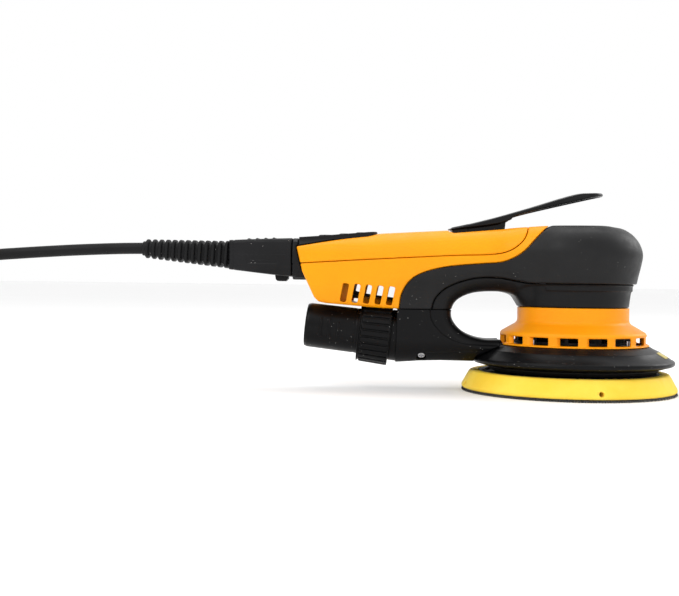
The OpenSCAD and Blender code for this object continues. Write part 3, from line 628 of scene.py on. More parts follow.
def all_materials():
    black = (0.005, 0.005, 0.0055)
    return {
        "yellow_shell": moulded("shell_yellow", (0.92, 0.340, 0.002), (0.89, 0.305, 0.002), 0.40,
                                (1500, 0.10), subsurface_weight=0.06, subsurface_scale=0.002),
        "motor_ring": moulded("ring_orange", (0.93, 0.340, 0.004), (0.89, 0.300, 0.003), 0.42,
                              (1500, 0.12), subsurface_weight=0.06, subsurface_scale=0.002),
        "grip_rubber": moulded("grip_rubber", (0.009, 0.009, 0.0095), (0.006, 0.006, 0.0065), 0.48,
                               (2600, 0.25), dust=0.04, specular_ior_level=0.22),
        "black_housing": moulded("housing_black", (0.007, 0.007, 0.0075), black, 0.44,
                                 (1900, 0.18), dust=0.02),
        "black_duct": moulded("duct_black", (0.004, 0.004, 0.0045), (0.003, 0.003, 0.0033), 0.34,
                              (1700, 0.14), dust=0.10, specular_ior_level=0.12),
        "tab": moulded("marker_pale", (0.62, 0.52, 0.20), (0.52, 0.43, 0.16), 0.6, (1500, 0.1)),
        "seal_rubber": moulded("seal_rubber", (0.010, 0.010, 0.010), (0.006, 0.006, 0.006), 0.55,
                               (1800, 0.2)),
        "button_plastic": moulded("key_plastic", (0.030, 0.030, 0.032), black, 0.5, (2200, 0.15)),
        "key_print": moulded("key_print", (0.55, 0.55, 0.55), (0.45, 0.45, 0.45), 0.5, (2200, 0.1)),
        "lens": lens_material(),
        "lever_plastic": moulded("lever_black", (0.005, 0.005, 0.0055), (0.003, 0.003, 0.0035), 0.32,
                                 (1800, 0.14), dust=0.06),
        "steel": metal("machined_steel", (0.62, 0.62, 0.64), (0.46, 0.46, 0.48), 0.28),
        "switch_plastic": moulded("switch_plastic", (0.05, 0.05, 0.08), (0.03, 0.03, 0.05), 0.5,
                                  (1500, 0.1)),
        "circuit_board": board_material(),
        "capacitor_sleeve": moulded("capacitor_sleeve", (0.015, 0.03, 0.16), (0.01, 0.02, 0.10),
                                    0.3, (900, 0.05)),
        "lamination": laminated_material(),
        "copper_wire": winding_material(),
        "magnet": metal("magnet_plate", (0.5, 0.5, 0.52), (0.38, 0.38, 0.4), 0.35),
        "cast_alloy": metal("cast_alloy", (0.68, 0.68, 0.7), (0.5, 0.5, 0.52), 0.45, (1, 1, 1)),
        "fan_plastic": moulded("fan_plastic", (0.03, 0.03, 0.03), (0.02, 0.02, 0.02), 0.5,
                               (1500, 0.1)),
        "pad_plate": moulded("plate_nylon", (0.03, 0.03, 0.032), (0.018, 0.018, 0.02), 0.5,
                             (1200, 0.2)),
        "pad_foam": foam_material(),
        "hook_fabric": hook_material(),
        "brass_contact": metal("brass_contact", (0.80, 0.58, 0.25), (0.6, 0.42, 0.16), 0.25),
        "nickel_contact": metal("nickel_pin", (0.74, 0.72, 0.68), (0.6, 0.58, 0.55), 0.18,
                                (14, 1, 1)),
        "wire_sleeve": moulded("wire_sleeve", (0.14, 0.05, 0.02), (0.09, 0.03, 0.015), 0.5,
                               (1500, 0.1)),
        "connector_plastic": moulded("connector_black", (0.010, 0.010, 0.011), black, 0.44,
                                     (1900, 0.2), dust=0.03),
        "cord_rubber": moulded("cord_rubber", (0.008, 0.008, 0.0085), (0.005, 0.005, 0.0055), 0.5,
                               (1500, 0.18), dust=0.02),
        "tie_fabric": strap_material(),
    }


# ---- camera, stage and light -------------------------------------------------------------
CAMERA_PLACE = (-0.10245, -0.612, 0.06246)  # metres
CAMERA_TURN = (0.0551, 0.0126, 0.0147)  # yaw, roll and downward pitch, in radians
CAMERA_LENS, CAMERA_SENSOR = 54.07, 36


def add_camera():
    yaw, roll, pitch = CAMERA_TURN
    right = Vector((math.cos(yaw), math.sin(yaw), 0))
    level = Vector((-math.sin(yaw), math.cos(yaw), 0))
    forward = level * math.cos(pitch) - Vector((0, 0, 1)) * math.sin(pitch)
    up = right.cross(forward)
    rolled_right = right * math.cos(roll) + up * math.sin(roll)
    rolled_up = up * math.cos(roll) - right * math.sin(roll)
    data = bpy.data.cameras.new("camera")
    data.lens, data.sensor_width = CAMERA_LENS, CAMERA_SENSOR
    data.clip_start, data.clip_end = 0.01, 50
    camera = bpy.data.objects.new("camera", data)
    turn = Matrix((rolled_right, rolled_up, -forward)).transposed().to_4x4()
    camera.matrix_world = Matrix.Translation(CAMERA_PLACE) @ turn
    bpy.context.scene.collection.objects.link(camera)
    bpy.context.scene.camera = camera


# Name, place, size and power of each soft light
LIGHTS = [
    ("key", (-0.75, -0.85, 1.05), (0.8, 0.8), 5.5),
    ("front", (0.45, -1.3, 0.45), (0.7, 0.5), 1.2),
    ("top", (-0.05, 0.35, 1.2), (1.0, 0.6), 4.5),
    ("rim", (0.9, 0.6, 0.6), (0.5, 0.5), 3),
]
LIGHT_TARGET = (-0.08, 0, 0.06)
FLOOR_REACH = 30


def area_light(name, place, size, power):
    data = bpy.data.lights.new(name, "AREA")
    data.shape, data.size, data.size_y = "RECTANGLE", size[0], size[1]
    data.energy, data.color = power, (1, 1, 1)
    light = bpy.data.objects.new(name, data)
    aim = Vector(LIGHT_TARGET) - Vector(place)
    turn = aim.to_track_quat("-Z", "Y").to_matrix().to_4x4()
    light.matrix_world = Matrix.Translation(place) @ turn
    bpy.context.scene.collection.objects.link(light)


def add_stage():
    for light in LIGHTS:
        area_light(*light)
    world = bpy.data.worlds.new("studio")
    world.use_nodes = True
    world.node_tree.nodes["Background"].inputs["Color"].default_value = (1, 1, 1, 1)
    world.node_tree.nodes["Background"].inputs["Strength"].default_value = 1.0
    bpy.context.scene.world = world
    bpy.context.scene.view_settings.view_transform = "Standard"
    mesh = bpy.data.meshes.new("floor")
    corners = [(x * FLOOR_REACH, y * FLOOR_REACH, 0) for x, y in ((-1, -1), (1, -1), (1, 1), (-1, 1))]
    mesh.from_pydata(corners, [], [(0, 1, 2, 3)])
    floor = bpy.data.objects.new("floor", mesh)
    mesh.materials.append(floor_material())
    bpy.context.scene.collection.objects.link(floor)


# ---- mains lead --------------------------------------------------------------------------
FIRST_LAYER_Z = CORD_D / 2
COIL_MOUTH = 2.3  # the cord joins and leaves this far outside its place
STEP_SHARE = 0.2  # of a turn, in which the cord moves to the next place
# Turns at which the cord starts to move out or in by one place, for each layer
RADIUS_STEPS = [
    (0.8, -1), (1.8, -1), (2.8, -1), (4.5, 1), (5.5, 1), (6.5, 1),
    (8.2, -1), (9.2, -1), (10.2, -1), (11.9, 1), (12.9, 1), (13.9, 1),
]
HEIGHT_STEPS = [3.6, 7.3, 11.0]
COIL_START = -68.6  # degrees, where the cord comes in to the coil
COIL_TURNS = 14.607
POINTS_PER_TURN = 36


def coil_points():
    """Centre of the cord in the coil: four places wide and four layers high."""
    out = []
    count = int(COIL_TURNS * POINTS_PER_TURN)
    for i in range(count + 1):
        turn = COIL_TURNS * i / count
        radius, height = COIL_OUTER_R, FIRST_LAYER_Z
        for at, way in RADIUS_STEPS:
            radius += way * CORD_D * float(smoothstep((turn - at) / STEP_SHARE))
        for at in HEIGHT_STEPS:
            height += CORD_D * float(np.clip((turn - at) / STEP_SHARE, 0, 1))
        # The cord comes in from, and leaves to, just outside the coil
        ease_in = 1 - smoothstep(turn / 0.12)
        ease_out = smoothstep((turn - COIL_TURNS + 0.12) / 0.12)
        radius += COIL_MOUTH * float(ease_in + ease_out)
        angle = math.radians(COIL_START - 360 * turn)
        out.append((COIL_CENTER[0] + radius * math.cos(angle),
                    COIL_CENTER[1] + radius * math.sin(angle), height))
    return out


def cord_points():
    run = smooth_line(CORD_ROUTE, 4)
    coil = np.array(coil_points())
    tail = smooth_line(TAIL_ROUTE, 4)
    return np.concatenate([run[:-2], coil[1:-1], tail[1:]])


def add_cord(material):
    points = cord_points() * MM
    data = bpy.data.curves.new("mains_cord", "CURVE")
    data.dimensions = "3D"
    data.bevel_depth = CORD_D / 2 * MM
    data.bevel_resolution = 5
    data.use_fill_caps = True
    spline = data.splines.new("POLY")
    spline.points.add(len(points) - 1)
    for p, place in zip(spline.points, points):
        p.co = (*place, 1)
    spline.use_smooth = True
    data.materials.append(material)
    cord = bpy.data.objects.new("mains_cord", data)
    bpy.context.scene.collection.objects.link(cord)
    return cord


RELIEF_START, RELIEF_END = (-204.6, 0, 78.6), (-258.5, 0, 82)
RELIEF_RIBS = 13


def relief_form():
    """Ribbed strain relief: square next to the connector, round at the cord."""
    start, end = np.array(RELIEF_START), np.array(RELIEF_END)
    length = np.linalg.norm(end - start)
    axis = (end - start) / length
    side = np.array((0, 1, 0))
    up = np.cross(axis, side)
    edge, groove = 0.45, 0.12
    pitch = length / (RELIEF_RIBS + 0.3)

    def core(s):
        """Radius between the ribs."""
        return 6.6 - 2.0 * s / length

    stations = [(0.4, core(0) - 0.4), (0.5, core(0))]
    for i in range(RELIEF_RIBS):
        a, b = i * pitch + 1, i * pitch + 1 + pitch * 0.5
        top = 8.7 - 2.8 * i / RELIEF_RIBS
        stations += [(a - groove, core(a)), (a, top - edge), (a + edge, top),
                     ((a + b) / 2, top + 0.06), (b - edge, top), (b, top - edge),
                     (b + groove, core(b))]
    stations += [(length - 0.4, core(length)), (length, core(length) - 0.5)]
    angles = np.arange(48) * 2 * math.pi / 48
    rings = []
    for s, radius in stations:
        power = 2 + 3.2 * (1 - s / length)
        c, d = np.cos(angles), np.sin(angles)
        squash = (np.abs(c) ** power + np.abs(d) ** power) ** (-1 / power)
        r = radius * (0.94 * squash)
        rings.append(start + axis * s + r[:, None] * (c[:, None] * side + d[:, None] * up))
    return tube_form(rings)


def strap_form():
    """Strap round the coil's 28 mm square of cords, its end lapped over itself."""
    half_w, thick, radius = 6.0, 0.8, 4.0
    center = np.array((COIL_CENTER[0] - 42, 14.4))
    half = 14.2
    corners = [(1, 1), (-1, 1), (-1, -1), (1, -1)]
    line = []
    for k, (sx, sz) in enumerate(corners):
        for a in np.linspace(0, 90, 7):
            angle = math.radians(90 * k + a)
            line.append((center[0] + sx * (half - radius) + radius * math.cos(angle),
                         center[1] + sz * (half - radius) + radius * math.sin(angle)))
    loop = np.array(line)
    lap = np.array([(center[0] + half + 0.75 - 0.35 * t, center[1] + 6 - 16 * t)
                    for t in np.linspace(0, 1, 6)])

    def band(path, closed):
        path = np.array(path)
        count = len(path)
        before, after = np.roll(path, 1, 0), np.roll(path, -1, 0)
        if not closed:
            before[0], after[-1] = path[0], path[-1]
        way = after - before
        way /= np.linalg.norm(way, axis=1)[:, None]
        out = np.stack([way[:, 1], -way[:, 0]], 1)
        rings = []
        for i in range(count):
            inner, outer = path[i], path[i] + out[i] * thick
            outer[1] = max(outer[1], 0.05)  # stays above the floor
            ring = [(inner[0], -half_w, inner[1]), (inner[0], half_w, inner[1]),
                    (outer[0], half_w, outer[1]), (outer[0], -half_w, outer[1])]
            rings.append(np.array(ring))
        if closed:
            rings.append(rings[0])
        return tube_form(rings, closed_ends=not closed)

    return band(loop, True).take(band(lap, False))


def plug_form():
    """Two-pin plug with finger ridges, its neck grooved where the cord goes in."""
    grid = Grid((-40, -20, -16), (33, 20, 16), 0.5)
    body = round_and(
        plan_field(grid, [(30, 17.5), (-2, 17.5), (-9, 12), (-12, 7.5), (-12, -7.5), (-9, -12),
                          (-2, -17.5), (30, -17.5)]),
        polygon_distance(grid.y, grid.z, mirrored([(0, 13), (11, 13), (15.5, 10.5), (17.5, 6),
                                                   (17.5, -6), (15.5, -10.5), (11, -13),
                                                   (0, -13)])), 2.0)
    neck_r = np.interp(grid.x[:, 0, 0], (-37, -12, 0), (4.8, 7.2, 7.2))[:, None, None]
    neck = np.maximum(np.hypot(grid.y, grid.z) - neck_r, np.abs(grid.x + 15) - 21)
    body = round_or(body, neck, 3)
    for x in (-4, 1, 6, 11):
        ridge = np.maximum(np.abs(grid.x - x) - 0.9, np.abs(np.abs(grid.y) - 17.5) - 0.8)
        body = round_or(body, np.maximum(ridge, np.abs(grid.z) - 8), 0.4)
    for x in (-32, -27, -22, -17):
        groove = np.maximum(np.abs(grid.x - x) - 0.8, 1.2 - (neck_r - np.hypot(grid.y, grid.z) + 2))
        body = np.maximum(body, -groove)
    mould_line = np.maximum(np.abs(grid.z) - 0.25, -(body + 0.35))
    body = np.maximum(body, -mould_line)
    return skin_of(grid, body)


def add_lead(mats):
    """Cord, strain relief, coil tie and plug, all on the connector's body."""
    place = np.array(PLUG_CENTER)
    relief = add_piece(mats, relief_form(), "strain_relief_ribs", "mains_lead", "cord_rubber",
                       "strain_relief", flat_angle=50)
    plug = add_piece(mats, plug_form(), "plug_shell", "mains_lead", "connector_plastic",
                     "plug_body", shift=place)
    pins = Form()
    tip = [(0.01, 19), (1.2, 19), (2.0, 18.4), (2.4, 17.2), (2.4, 0), (0.01, 0)][::-1]
    for s in (-1, 1):
        pins.take(lathe_solid(tip, 40).moved(lambda p, s=s: np.array([p[2] + 30, s * 9.5 + p[1],
                                                                      -p[0]])))
    pins = add_piece(mats, pins, "plug_pin_pair", "mains_lead", "nickel_contact", "plug_pins",
                     shift=place, flat_angle=50)
    strap = add_piece(mats, strap_form(), "coil_strap", "mains_lead", "tie_fabric", "cord_tie",
                      shift=(0, 0, 0), flat_angle=40)
    cord = add_cord(mats["cord_rubber"])
    finish_piece(cord, "mains_lead", "cord_rubber", "cord_run", "cord_coil", "cord_tail")
    tuple(cord_points()[0] * MM)


# ---- shells of the handle ----------------------------------------------------------------
def handle_field(grid):
    """The handle from its side, its section and its plan."""
    side = side_field(grid, HANDLE_SIDE)
    half_section = smooth_line(HALF_SECTION, 3)
    section = section_field(grid, mirrored(half_section))
    plan = np.abs(grid.y) - np.interp(
        grid.x, [p[0] for p in HALF_PLAN[::-1]], [p[1] for p in HALF_PLAN[::-1]]
    )
    return round_and(round_and(side, section, 2.2), plan, 2.0)


def dome_field(grid):
    """The turned head."""
    skirt = [(34.6, 52), (35.7, 60)]
    profile = [(0, 52)] + skirt + [tuple(p) for p in smooth_line(HEAD_PROFILE)] + [(0, 97)]
    return revolve_field(grid, profile)


def body_field(grid):
    """The handle flowing into the head, under one crown line."""
    both = round_or(handle_field(grid), dome_field(grid), 11)
    crown = grid.z - np.interp(grid.x, [p[0] for p in CROWN], [p[1] for p in CROWN])
    return round_and(both, crown, 0.8)


def hole_field(grid):
    """The finger hole, right through."""
    return side_field(grid, smooth_loop(FINGER_HOLE))


def above_seam(grid):
    """Negative where the upper cover is, a gap away from the seam."""
    return side_field(grid, [*smooth_line(SEAM_LINE), (-27, 140), (-180, 140)]) + SEAM_GAP


def below_seam(grid):
    return SEAM_GAP * 2 - above_seam(grid)


def left_of_grip(grid):
    """Negative behind the grip's edge."""
    return side_field(grid, [*smooth_line(GRIP_LINE), (-8, 120), (-190, 120), (-190, 40)]) + SEAM_GAP


def right_of_grip(grid):
    return SEAM_GAP * 2 - left_of_grip(grid)


def outside_liner(grid):
    """Negative beyond the finger liner's edge."""
    outline = [*smooth_line(LINER_LINE), (60, 150), (-180, 150), (-180, 40)]
    return side_field(grid, outline) + SEAM_GAP


def inside_liner(grid):
    return SEAM_GAP * 2 - outside_liner(grid)


def can_room(grid):
    """Space for the stator can."""
    return revolve_field(grid, [(0, 55), (34, 55), (34, 84.2), (26.8, 93.8), (0, 93.8)])


PANEL_FRONT_X = -116.2
PANEL_HALF_Y = 13.2


def panel_recess(grid):
    """Plan of the control panel: straight sides, and round corners in front."""
    front, half, corner = PANEL_FRONT_X, PANEL_HALF_Y, 7
    outline = [(-180, half), (front - corner, half)]
    outline += [(front - corner + corner * math.sin(a), half - corner + corner * math.cos(a))
                for a in np.linspace(0, math.pi / 2, 7)]
    outline += [(x, -y) for x, y in outline[::-1]]
    return plan_field(grid, outline)


def inlet_opening(grid):
    """Room at the handle's back for the power inlet."""
    return np.maximum(np.maximum(grid.x + 150, 64 - grid.z), np.abs(grid.y) - 13.6)


def cut(field, hole, r=0.4):
    """field without hole, its rim rounded."""
    return round_and(field, -hole, r)


def tongue_field(outer, past, depth):
    """A stepped lip reaching past a piece's edge, that far below the skin, to back its seam."""
    root = np.maximum(np.abs(outer + 3.65) - 1.4, np.abs(past + 1.2) - 0.8)
    lip = np.maximum(np.abs(outer + depth + 0.9) - 0.9, np.abs(past - 0.5) - 2.5)
    return np.minimum(root, lip)


def cover_form():
    """Upper cover of the handle."""
    grid = Grid((-167, 0, 70), (-24, 27, 100), 0.5)
    outer = body_field(grid)
    skin = round_and(outer, above_seam(grid), EDGE)
    skin = hollow(skin, outer, WALL)
    # Moulded step beside the lever, and the lever's well
    well = plan_field(grid, [(-73.9, -10.4), (-38, -10.4), (-38, 10.4), (-73.9, 10.4)]) - 0.1
    skin = cut(skin, np.maximum(well, 84 - grid.z), 0.5)
    skin = cut(skin, np.maximum(panel_recess(grid), 80 - grid.z), 0.3)
    skin = np.maximum(skin, -inlet_opening(grid))
    return skin_of(grid, np.maximum(skin, -can_room(grid)))


SLOT_COUNT = 5
SLOT_FIRST = (-108, 55.3)  # middle of the slot nearest the nose
SLOT_PITCH = (6.7, 0.4)  # each next slot is this far back and up
SLOT_HALF = (1.75, 5.5)
SLOT_TILT = 11
SLOT_CORNER = 0.9


def slots_field(grid):
    """Cooling slots seen from the side, with round corners."""
    c, s = cos_sin(SLOT_TILT)
    best = None
    for i in range(SLOT_COUNT):
        dx = grid.x - SLOT_FIRST[0] + SLOT_PITCH[0] * i
        dz = grid.z - SLOT_FIRST[1] - SLOT_PITCH[1] * i
        slot = box_2d(dx * c - dz * s, dx * s + dz * c, *SLOT_HALF, SLOT_CORNER)
        best = slot if best is None else np.minimum(best, slot)
    return best


def handle_shell_form():
    """Lower shell of the handle, with its cooling slots and the collar's recess."""
    grid = Grid((-167, 0, 46.5), (2, 42, 100), 0.5)
    outer = body_field(grid)
    region = round_and(below_seam(grid), left_of_grip(grid), 0.3)
    region = round_and(region, COLUMN_SEAM_Z + 0.2 - grid.z, 0.3)
    skin = round_and(outer, region, EDGE)
    skin = hollow(skin, outer, WALL)
    # Tongues reach behind the edges of the grip and the cover
    behind_grip = np.maximum(tongue_field(outer, left_of_grip(grid), 2.8),
                             np.maximum(COLUMN_SEAM_Z + 0.4 - grid.z, below_seam(grid)))
    behind_cover = np.maximum(tongue_field(outer, below_seam(grid), 2.9),
                              np.maximum(grid.x + 48, left_of_grip(grid)))
    skin = np.minimum(skin, np.minimum(behind_grip, behind_cover))
    # A raised bead round each slot, then the slot itself
    bead = round_and(np.abs(slots_field(grid) - 0.35) - 0.45, np.abs(outer) - 0.35, 0.25)
    skin = round_or(skin, bead, 0.3)
    skin = cut(skin, slots_field(grid), 0.25)
    # An inner wall closes the rearmost slot
    skin = np.minimum(skin, box_field(grid, (-139.6, 9.4, 50), (-131.8, 10.8, 62.5), 0.3))
    for side in (-1, 1):
        well = np.hypot(grid.x - SHELL_SCREW_X, grid.y - SHELL_SCREW_Y * side) - 3.0
        skin = cut(skin, np.maximum(well, grid.z - 52.6), 0.3)
    skin = np.maximum(skin, -inlet_opening(grid))
    # Arched recess that the collar turns in, with ribs across its roof
    out, radius = outlet_place(grid)
    roof = np.maximum(np.maximum(np.abs(radius - 20.3) - 0.8, np.abs(out - 9) - 12.6), outer + 0.4)
    rib = np.maximum(np.maximum(np.abs(radius - 19.8) - 0.9, np.abs(out % 5 - 2.5) - 0.6),
                     np.maximum(np.abs(out - 9) - 12, outer + 0.4))
    skin = np.minimum(skin, np.minimum(roof, rib))
    skin = cut(skin, np.maximum(radius - 19.0, np.abs(out - 8.85) - 11.65), 0.3)
    return skin_of(grid, np.maximum(skin, -can_room(grid)))


def grip_form():
    """Soft grip over the head and the column behind the finger hole."""
    grid = Grid((-106, 0, 46.5), (42, 42, 100), 0.55)
    outer = body_field(grid)
    region = round_and(right_of_grip(grid), outside_liner(grid), 0.3)
    region = round_and(region, COLUMN_SEAM_Z + 0.06 - grid.z, 0.2)
    skin = round_and(outer, region, 0.6)
    skin = hollow(skin, outer, WALL - 0.2)
    # A tongue reaches behind the liner along the handle
    tongue = tongue_field(outer, outside_liner(grid), 3.6)
    tongue = np.maximum(tongue, np.maximum(grid.x + 45, COLUMN_SEAM_Z + 0.4 - grid.z))
    skin = np.minimum(skin, np.maximum(tongue, -hole_field(grid) + 3.2))
    return skin_of(grid, np.maximum(skin, -can_room(grid)))


def liner_form():
    """Liner of the finger hole, with the band under the head."""
    grid = Grid((-86, 0, 46.5), (38, 38, 69), 0.5)
    band = revolve_field(grid, [(0, 44), (32, 44), (32.1, 50), (33, 57.5), (34, 62.4),
                                (35.9, 63.4), (36.2, 72), (0, 72)])
    outer = round_and(handle_field(grid) + 0.7, -hole_field(grid), HOLE_FILLET)
    outer = round_or(outer, band, 4.5)
    radius = np.hypot(grid.x, grid.y)
    floor_z = np.where(radius < NECK_R + 1.2, NECK_TOP_Z + 0.15, COLUMN_SEAM_Z + 0.06)
    region = round_and(inside_liner(grid), floor_z - grid.z, 0.3)
    skin = round_and(outer, region, EDGE)
    skin = hollow(skin, outer, WALL)
    # A thin collar goes up inside the head
    collar = np.maximum(np.abs(radius - 33.6) - 0.5, np.abs(grid.z - 62.5) - 3)
    return skin_of(grid, np.minimum(skin, np.maximum(collar, -20 - grid.x)))


def duct_field(grid):
    """The duct's outside, with the grip's crease sunk into it. Its top is left open."""
    half = 16.4
    bottom = 31.6  # below this the section is a half circle
    side = side_field(grid, [(-112, 56), (-40, 56), (-20, 47), (-20, 16.9), (-78, 17.5), (-91, 17),
                             (-112, 14.9)])
    across = np.where(grid.z < bottom, np.hypot(grid.y, grid.z - bottom), np.abs(grid.y)) - half
    inner = side_field(grid, [*smooth_line(DUCT_CREASE), (-40, 60), (-84.8, 60)])
    sunk = 0.95 * smoothstep(-inner / 0.7)
    return round_and(side, across, 0.9) + sunk


def screw_well(grid, side):
    """A round pocket for a screw in the duct's rounded underside."""
    x, y, z = DUCT_SCREWS
    c, s = cos_sin(DUCT_SCREW_LEAN)
    dy, dz = side * grid.y - y, grid.z - z
    outward = dy * s - dz * c
    across = dy * c + dz * s
    return np.maximum(np.hypot(grid.x - x, across) - 2.9, -2.1 - outward)


def duct_form():
    """Exhaust duct under the finger hole, with the spigot that the collar turns on."""
    grid = Grid((-111, 0, 14), (-40, 18, 50), 0.45)
    outer = round_and(duct_field(grid), -hole_field(grid), HOLE_FILLET)
    out = DUCT_END_X - grid.x + (grid.z - OUTLET_START[2]) * math.tan(math.radians(DUCT_END_LEAN))
    skin = round_and(outer, round_and(grid.z - COLUMN_SEAM_Z + 0.06, out, 0.3), EDGE)
    skin = hollow(skin, outer, WALL)
    # A tongue goes up inside the column
    tongue = np.maximum(np.abs(outer + 2.2) - 0.8, np.abs(grid.z - 47) - 2)
    skin = np.minimum(skin, np.maximum(tongue, out + 3))
    shroud = revolve_field(grid, [(0, 60), (44.6, 60), (44.6, 27.8), (46.4, 26.9), (50.4, 24.9),
                                  (58.9, 20.2), (58.9, 10), (0, 10)])
    skin = cut(skin, shroud, 0.4)
    # Moulding line along the lower side
    line = np.maximum(np.abs(grid.z - 23.6 - 0.06 * (grid.x + 60)) - 0.22, -(outer + 0.3))
    skin = np.maximum(skin, -np.maximum(line, -86 - grid.x))
    skin = cut(skin, screw_well(grid, 1), 0.35)
    form = skin_of(grid, skin)
    spigot = softened([(14.9, -3), (14.9, 12), (12, 12), (12, -3)], 0.4)
    ring = softened([(15.1, -4.6), (15.1, 0.5), (14, 0.5), (14, -4.6)], 0.3)
    form.take(lathe_ring(spigot, 96).moved(along_outlet))
    return form.take(lathe_ring(ring, 128).moved(along_outlet))


def add_shells(mats):
    pieces = [
        ("cover_shell", cover_form, "yellow_shell", "upper_cover"),
        ("lower_shell", handle_shell_form, "yellow_shell", "handle_shell"),
        ("rubber_head", grip_form, "grip_rubber", "rubber_grip"),
        ("finger_liner", liner_form, "black_housing", "inner_housing"),
        ("duct_shell", duct_form, "black_duct", "exhaust_duct"),
    ]
    for name, form, slot, cad_node in pieces:
        add_piece(mats, form(), name, "housing", slot, cad_node)


# ---- motor ring, shroud and outlet -------------------------------------------------------
WINDOW_COUNT = 16
WINDOW_Z = 31
WINDOW_HALF = (5.7, 2.2)
WINDOW_FRAME = 0.5  # the shallow frame is this much bigger all round
WINDOW_TURN = 2.5  # degrees at the ring's outside
WINDOW_LEAN = 1.3  # degrees less for each millimetre further in
RING_OUTER_R = 42.5


def motor_ring_form():
    """Ring round the motor, with a row of air windows."""
    grid = Grid((-46, -46, 26.5), (46, 46, 51), 0.45, half=False)
    outer = revolve_field(grid, [
        (0, 27.7), (44, 27.7), (44.1, 28.5), (RING_OUTER_R, 28.9), (RING_OUTER_R, 34.4),
        (41.6, 35.6),
        (33.6, 40.2), (32.6, 41.4), (32.4, 43), (32.4, 49.8), (0, 49.8),
    ])
    inner = revolve_field(grid, [(0, 20), (40, 20), (40, 34), (29.6, 40), (29.6, 60), (0, 60)])
    skin = round_and(outer, -inner, 0.3)
    skin = np.maximum(skin, 27.7 - grid.z)
    radius = np.hypot(grid.x, grid.y)
    # The windows' sides lean with the fan's swirl
    lean = np.radians(WINDOW_TURN - WINDOW_LEAN * (RING_OUTER_R - radius))
    angle = np.arctan2(grid.y, grid.x) + lean
    step = 2 * math.pi / WINDOW_COUNT
    across = radius * np.sin((angle % step) - step / 2)
    above = grid.z - WINDOW_Z
    window = box_2d(across, above, *WINDOW_HALF, 0.45)
    skin = cut(skin, np.maximum(window, 36 - radius), 0.35)
    # Shallow frame round each window
    half_w, half_h = WINDOW_HALF
    frame = box_2d(across, above, half_w + WINDOW_FRAME, half_h + WINDOW_FRAME, 0.6)
    frame = np.maximum(frame, -(outer + 0.15))
    return skin_of(grid, np.maximum(skin, -frame))


def shroud_form():
    """Thin dust shroud with a rolled lip."""
    lip = [(56.8 + 1.7 * math.cos(math.radians(a)), 18.3 + 1.7 * math.sin(math.radians(a)))
           for a in range(60, -91, -15)]
    top = [(8, 27.6), (43.4, 27.6), (44.8, 27.2), (46, 26.4)]
    # Two faint steps run round the slope
    slope = [(50.2, 24.5), (50.4, 24.15), (54.4, 21.8), (56.4, 20.3)]
    under = [(52, 15.2), (50.4, 14.8), (50.4, 16.2), (54.3, 18.0), (42.6, 25.2), (8, 25.2)]
    return lathe_ring(top + slope + lip + under, 192)


def seal_form():
    """Soft ring that brakes the pad."""
    profile = softened([(46, 12.5), (48.5, 12.5), (49.8, 14.4), (49.8, 17.2), (47.5, 17.2),
                        (47.5, 14.4)], 0.4)
    return lathe_ring(profile, 160)


COLLAR_LOW, COLLAR_HIGH = 0.9, 19.7
COLLAR_RIBS = 28
COLLAR_ROOM_R = 19.2  # kept free round the outlet's axis


def collar_form():
    """Turning collar: a slight cone of broad ribs between two plain rims."""
    grid = Grid((-19.5, -19.5, 0), (19.5, 19.5, 21), 0.32, half=False)
    radius = np.hypot(grid.x, grid.y)
    cone = radius - 18.6 + (grid.z - COLLAR_LOW) * 0.8 / (COLLAR_HIGH - COLLAR_LOW)
    middle, half = (COLLAR_LOW + COLLAR_HIGH) / 2, (COLLAR_HIGH - COLLAR_LOW) / 2
    ends = np.abs(grid.z - middle) - half
    angle = np.arctan2(grid.y, grid.x)
    step = 2 * math.pi / COLLAR_RIBS
    across = ((angle + step / 2) % step - step / 2) * 18
    body = round_and(cone + 0.95, ends, 0.4)
    rib = round_and(np.abs(across) - 1.45, cone, 0.3)
    inset = np.maximum(COLLAR_LOW + 0.9 - grid.z, grid.z - COLLAR_HIGH + 1.7)
    body = round_or(body, round_and(rib, inset, 0.3), 0.15)
    rim = np.maximum(cone + 0.1, np.minimum(np.abs(grid.z - COLLAR_LOW - 0.45) - 0.3,
                                            np.abs(grid.z - COLLAR_HIGH + 0.4) - 0.3))
    body = np.minimum(body, rim)
    bore = np.where(grid.z < 17.4, radius - 15, radius - 13.5)
    return skin_of(grid, round_and(body, -bore, 0.2)).moved(along_outlet)


def nozzle_form():
    """Hose nozzle: a tube held by its flange inside the collar."""
    profile = softened([
        (11, 12.2), (14.9, 12.2), (14.9, 14.4), (13.4, 14.4), (13.4, 21), (13.28, 21.4),
        (13.28, 22.2), (13.4, 22.6), (13.15, 49.6), (12.5, 51.5), (11.4, 51.5), (11, 50.6),
    ], 0.3, 2)
    form = lathe_ring(profile, 128)
    # Three short grip ridges on each side
    for sign in (-1, 1):
        for k, span in enumerate((18, 25, 25)):
            s = 31.5 + 5.2 * k
            angles = np.radians(np.linspace(-span, span, 15)) + sign * math.pi / 2
            rings = []
            for i, a in enumerate(angles):
                end = min(i, len(angles) - 1 - i)
                lift = 0.55 if end else 0.05
                ring = []
                for dr, ds in ((-0.4, -0.8), (lift * 0.8, -0.55), (lift, 0), (lift * 0.8, 0.55),
                               (-0.4, 0.8)):
                    r = 13.3 + dr
                    ring.append((r * math.cos(a), r * math.sin(a), s + ds))
                rings.append(np.array(ring))
            form.take(tube_form(rings))
    return form.moved(along_outlet)


def seal_ring_form():
    """Round rubber ring on the nozzle's tube."""
    circle = [(14.1 + 0.75 * math.cos(a), 15.9 + 0.75 * math.sin(a))
              for a in np.linspace(0, 2 * math.pi, 13)[:-1]]
    return lathe_ring(circle, 96).moved(along_outlet)


